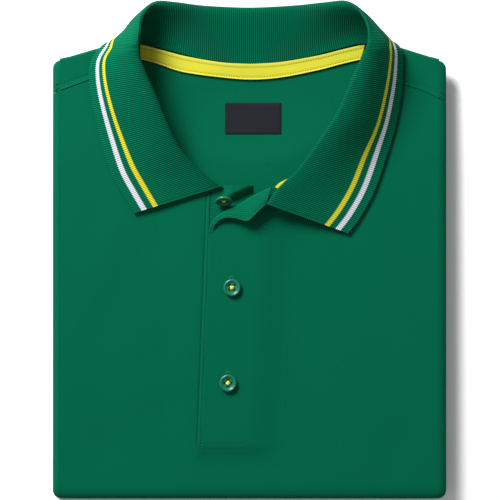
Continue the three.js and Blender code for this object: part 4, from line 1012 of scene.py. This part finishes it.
def rib_group():
    """Ribs along a knitted band: a cosine of the distance along it, with small loops across."""
    inputs = [(label, "NodeSocketFloat") for label in ("Along", "Across", "Pitch")]
    group, entry, leave = new_group("rib knit", inputs, ["Rib", "Loops"])
    turn = maths(group, "DIVIDE", 2 * math.pi, entry.outputs["Pitch"])
    phase = maths(group, "MULTIPLY", entry.outputs["Along"], turn)
    rib = maths(group, "MULTIPLY_ADD", maths(group, "COSINE", phase), 0.5, 0.5)
    group.links.new(rib, leave.inputs["Rib"])
    group.links.new(sine_wave(group, entry.outputs["Across"], 0.07), leave.inputs["Loops"])
    return group


def material(name, colour, roughness, gloss=0.5):
    """A material with a Principled shader; gives the material, its tree, shader and UV socket."""
    mat = bpy.data.materials.new(name)
    mat.use_nodes = True
    tree = mat.node_tree
    shader = tree.nodes["Principled BSDF"]
    shader.inputs["Base Color"].default_value = (*colour, 1)
    shader.inputs["Roughness"].default_value = roughness
    shader.inputs["Specular IOR Level"].default_value = gloss
    uv = tree.nodes.new("ShaderNodeUVMap")
    uv.uv_map = "cloth"
    return mat, tree, shader, uv.outputs[0]


def mixed(tree, factor, a, b):
    """A colour between a and b by a factor; colours are tuples or sockets."""
    node = tree.nodes.new("ShaderNodeMix")
    node.data_type = "RGBA"
    for socket, value in ((node.inputs[0], factor), (node.inputs[6], a), (node.inputs[7], b)):
        if isinstance(value, tuple):
            socket.default_value = (*value, 1)
        elif isinstance(value, (int, float)):
            socket.default_value = value
        else:
            tree.links.new(value, socket)
    return node.outputs[2]


def mixed_number(tree, factor, a, b):
    """A number between a and b by a factor."""
    return maths(tree, "ADD", a, maths(tree, "MULTIPLY", factor, maths(tree, "SUBTRACT", b, a)))


def shade(colour, times):
    """A colour made lighter or darker, held at 1."""
    return tuple(min(1, part * times) for part in colour)


def bumped(tree, shader, height, strength, distance):
    """Feeds a height through a Bump node to the shader's normal."""
    bump = tree.nodes.new("ShaderNodeBump")
    bump.inputs["Strength"].default_value = strength
    bump.inputs["Distance"].default_value = distance
    tree.links.new(height, bump.inputs["Height"])
    tree.links.new(bump.outputs[0], shader.inputs["Normal"])


def body_material(cells):
    """Body cloth: fine diagonal cells, a slow cloud of tone and soft roughness."""
    colour = (0.0, 0.104, 0.05)
    mat, tree, shader, uv = material("green birdseye knit", colour, 0.95, 0.04)
    knit = tree.nodes.new("ShaderNodeGroup")
    knit.node_tree = cells
    knit.inputs["Pitch"].default_value = 0.11
    tree.links.new(uv, knit.inputs["Vector"])
    tone = mixed(tree, knit.outputs["Cells"], shade(colour, 0.66), shade(colour, 1.3))
    cloud = maths(tree, "MULTIPLY_ADD", knit.outputs["Cloud"], 0.5, -0.12)
    tone = mixed(tree, cloud, tone, shade(colour, 0.9))
    tree.links.new(tone, shader.inputs["Base Color"])
    rough = maths(tree, "MULTIPLY_ADD", knit.outputs["Cells"], -0.1, 0.9)
    tree.links.new(rough, shader.inputs["Roughness"])
    bumped(tree, shader, knit.outputs["Cells"], 0.45, 0.0005)
    return mat


def band(tree, distance, middle, width, soft):
    """1 inside a band round a middle distance, 0 outside, with soft edges."""
    off = maths(tree, "ABSOLUTE", maths(tree, "SUBTRACT", distance, middle))
    step = maths(tree, "DIVIDE", maths(tree, "SUBTRACT", width / 2 + soft / 2, off), soft)
    return maths(tree, "MINIMUM", maths(tree, "MAXIMUM", step, 0.0), 1.0)


def collar_material(ribs):
    """Rib knit with a white and a yellow stripe along the free edge, knots at its two ends and
    painted shade on the inside, a darker green over the stand."""
    mat, tree, shader, uv = material("collar rib knit", (0.0, 0.14, 0.066), 0.95, 0.05)
    knit = tree.nodes.new("ShaderNodeGroup")
    knit.node_tree = ribs
    knit.inputs["Pitch"].default_value = RIB / MM_IN_CM
    along, across = split(tree, uv)
    tree.links.new(along, knit.inputs["Along"])
    tree.links.new(across, knit.inputs["Across"])
    ragged = maths(tree, "MULTIPLY_ADD", knit.outputs["Rib"], 0.05, across)
    at_end = maths(tree, "LESS_THAN", along, 0.2)
    pattern = mixed_number(tree, at_end, knit.outputs["Rib"], sine_wave(tree, across, 0.14))
    green = mixed(tree, pattern, (0.0, 0.053, 0.027), (0.0, 0.154, 0.073))
    # Painted shade: where "stand" is 1 the green turns darker, standing in for the shade inside the collar.
    inside = tree.nodes.new("ShaderNodeAttribute")
    inside.attribute_name = "stand"
    shaded_stand_green = mixed(tree, pattern, (0.0, 0.034, 0.017), (0.0, 0.128, 0.06))
    green = mixed(tree, inside.outputs["Fac"], green, shaded_stand_green)
    white = mixed(tree, pattern, (0.40, 0.41, 0.47), (0.68, 0.69, 0.76))
    yellow = mixed(tree, pattern, (0.44, 0.39, 0.015), (0.72, 0.64, 0.03))
    colour = mixed(tree, band(tree, ragged, 0.79, 0.37, 0.03), green, white)
    colour = mixed(tree, band(tree, ragged, 1.61, 0.34, 0.03), colour, yellow)
    tree.links.new(colour, shader.inputs["Base Color"])
    height = maths(tree, "MULTIPLY_ADD", knit.outputs["Loops"], 0.25, pattern)
    bumped(tree, shader, height, 0.5, 0.0004)
    return mat


def tape_material():
    """Twill tape: fine chevrons along it, and both edges lighter as a painted highlight on its borders."""
    colour = (0.56, 0.53, 0.035)
    mat, tree, shader, uv = material("yellow twill tape", colour, 0.85, 0.1)
    along, across = split(tree, uv)
    lean = maths(tree, "ABSOLUTE", maths(tree, "SUBTRACT", across, 0.5))
    chevron = sine_wave(tree, maths(tree, "ADD", along, lean), 0.1)
    tone = mixed(tree, chevron, shade(colour, 0.9), shade(colour, 1.07))
    # Painted highlight: both edges of the tape are made lighter, standing in for light caught on its raised
    # borders.
    edge = maths(tree, "MULTIPLY", maths(tree, "GREATER_THAN", lean, 0.4), 0.5)
    tree.links.new(mixed(tree, edge, tone, (0.72, 0.7, 0.1)), shader.inputs["Base Color"])
    bumped(tree, shader, chevron, 0.3, 0.0003)
    return mat


def thread_material(name, colour):
    """Sewing thread: a fine twist in tone, a little glossier than cloth."""
    mat, tree, shader, _ = material(name, colour, 0.7, 0.15)
    place = tree.nodes.new("ShaderNodeTexCoord")
    twist = tree.nodes.new("ShaderNodeTexNoise")
    twist.inputs["Scale"].default_value = 2500
    tree.links.new(place.outputs["Object"], twist.inputs["Vector"])
    tone = mixed(tree, twist.outputs[0], shade(colour, 0.8), shade(colour, 1.2))
    tree.links.new(tone, shader.inputs["Base Color"])
    return mat


def button_material():
    """Dyed button: glossy green with a faint cloud in its tone and fine wear in its gloss."""
    mat, tree, shader, uv = material("dyed button", (0.0, 0.13, 0.075), 0.4, 0.4)
    cloud = tree.nodes.new("ShaderNodeTexNoise")
    cloud.inputs["Scale"].default_value = 6
    cloud.inputs["Detail"].default_value = 5
    tree.links.new(uv, cloud.inputs["Vector"])
    tone = mixed(tree, cloud.outputs[0], (0.0, 0.10, 0.055), (0.005, 0.17, 0.1))
    tree.links.new(tone, shader.inputs["Base Color"])
    tree.links.new(maths(tree, "MULTIPLY_ADD", cloud.outputs[0], 0.2, 0.2), shader.inputs["Roughness"])
    return mat


def label_material():
    """Dark satin patch: fine ribs across it."""
    mat, tree, shader, uv = material("dark satin patch", (0.013, 0.015, 0.024), 0.7, 0.15)
    rib = sine_wave(tree, split(tree, uv)[1], 0.06)
    tone = mixed(tree, rib, (0.005, 0.006, 0.010), (0.010, 0.012, 0.017))
    tree.links.new(tone, shader.inputs["Base Color"])
    bumped(tree, shader, rib, 0.2, 0.0002)
    return mat


def paint(mat, *pieces):
    """Gives each piece its one material."""
    for piece in pieces:
        piece.data.materials.clear()
        piece.data.materials.append(mat)


# Floor, light and camera

def make_studio():
    """A pale floor, an even pale sky, a large soft light from the upper left and the camera."""
    floor_mesh = bpy.data.meshes.new("floor")
    floor_mesh.from_pydata([(-3, -3, 0), (3, -3, 0), (3, 3, 0), (-3, 3, 0)], [], [(0, 1, 2, 3)])
    floor = bpy.data.objects.new("floor", floor_mesh)
    bpy.context.scene.collection.objects.link(floor)
    floor.data.materials.append(material("pale floor", (1.0, 1.0, 1.0), 0.9)[0])
    world = bpy.data.worlds.new("pale sky")
    world.use_nodes = True
    sky = world.node_tree.nodes["Background"]
    sky.inputs[0].default_value = (1, 1, 1, 1)
    sky.inputs[1].default_value = 0.33
    bpy.context.scene.world = world
    lamp = bpy.data.lights.new("soft light", "AREA")
    lamp.shape = "RECTANGLE"
    lamp.size = 0.9
    lamp.size_y = 0.7
    lamp.energy = 89
    light = bpy.data.objects.new("soft light", lamp)
    light.location = (-1.0, 1.45, 1.2)
    light.rotation_euler = (-Vector(light.location)).to_track_quat("-Z", "Y").to_euler()
    bpy.context.scene.collection.objects.link(light)
    eye = bpy.data.cameras.new("camera")
    eye.sensor_width = 36
    eye.lens = 255.5
    camera = bpy.data.objects.new("camera", eye)
    camera.location = (0.00035, -0.000175, 2.5)
    bpy.context.scene.collection.objects.link(camera)
    bpy.context.scene.camera = camera
    bpy.context.scene.view_settings.view_transform = "Standard"


make_studio()
front = make_front()
back = make_back()
wraps = [bpy.data.objects["back_panel_wrap_left"], bpy.data.objects["back_panel_wrap_right"]]
core = make_core()
sleeves = [make_sleeve(1, "left"), make_sleeve(-1, "right")]
collar = make_collar()
tape, tape_sheet = make_tape()
tape_end = make_tape_end()
label = make_label()
placket, lapel_form = make_placket()
under = make_placket_under()
buttons = [make_button(name) for name in BUTTONS]
sewing = make_sewing(tape_sheet, lapel_form)
holes = [make_buttonhole(name) for name in ("middle", "bottom")]
threads = [make_button_thread(name) for name in ("middle", "bottom", "top")]

cells, ribs = birdseye_group(), rib_group()
paint(body_material(cells), front, back, *wraps, core, *sleeves, placket, under)
paint(collar_material(ribs), collar)
paint(tape_material(), tape, tape_end)
paint(thread_material("green thread", (0.0, 0.12, 0.06)), sewing[0], *holes)
paint(thread_material("needle hole shade", (0.0, 0.03, 0.016)), sewing[1])
paint(thread_material("tape thread", (0.16, 0.15, 0.02)), sewing[2])
paint(thread_material("yellow thread", (0.75, 0.68, 0.04)), *threads)
paint(button_material(), *buttons)
paint(label_material(), label)
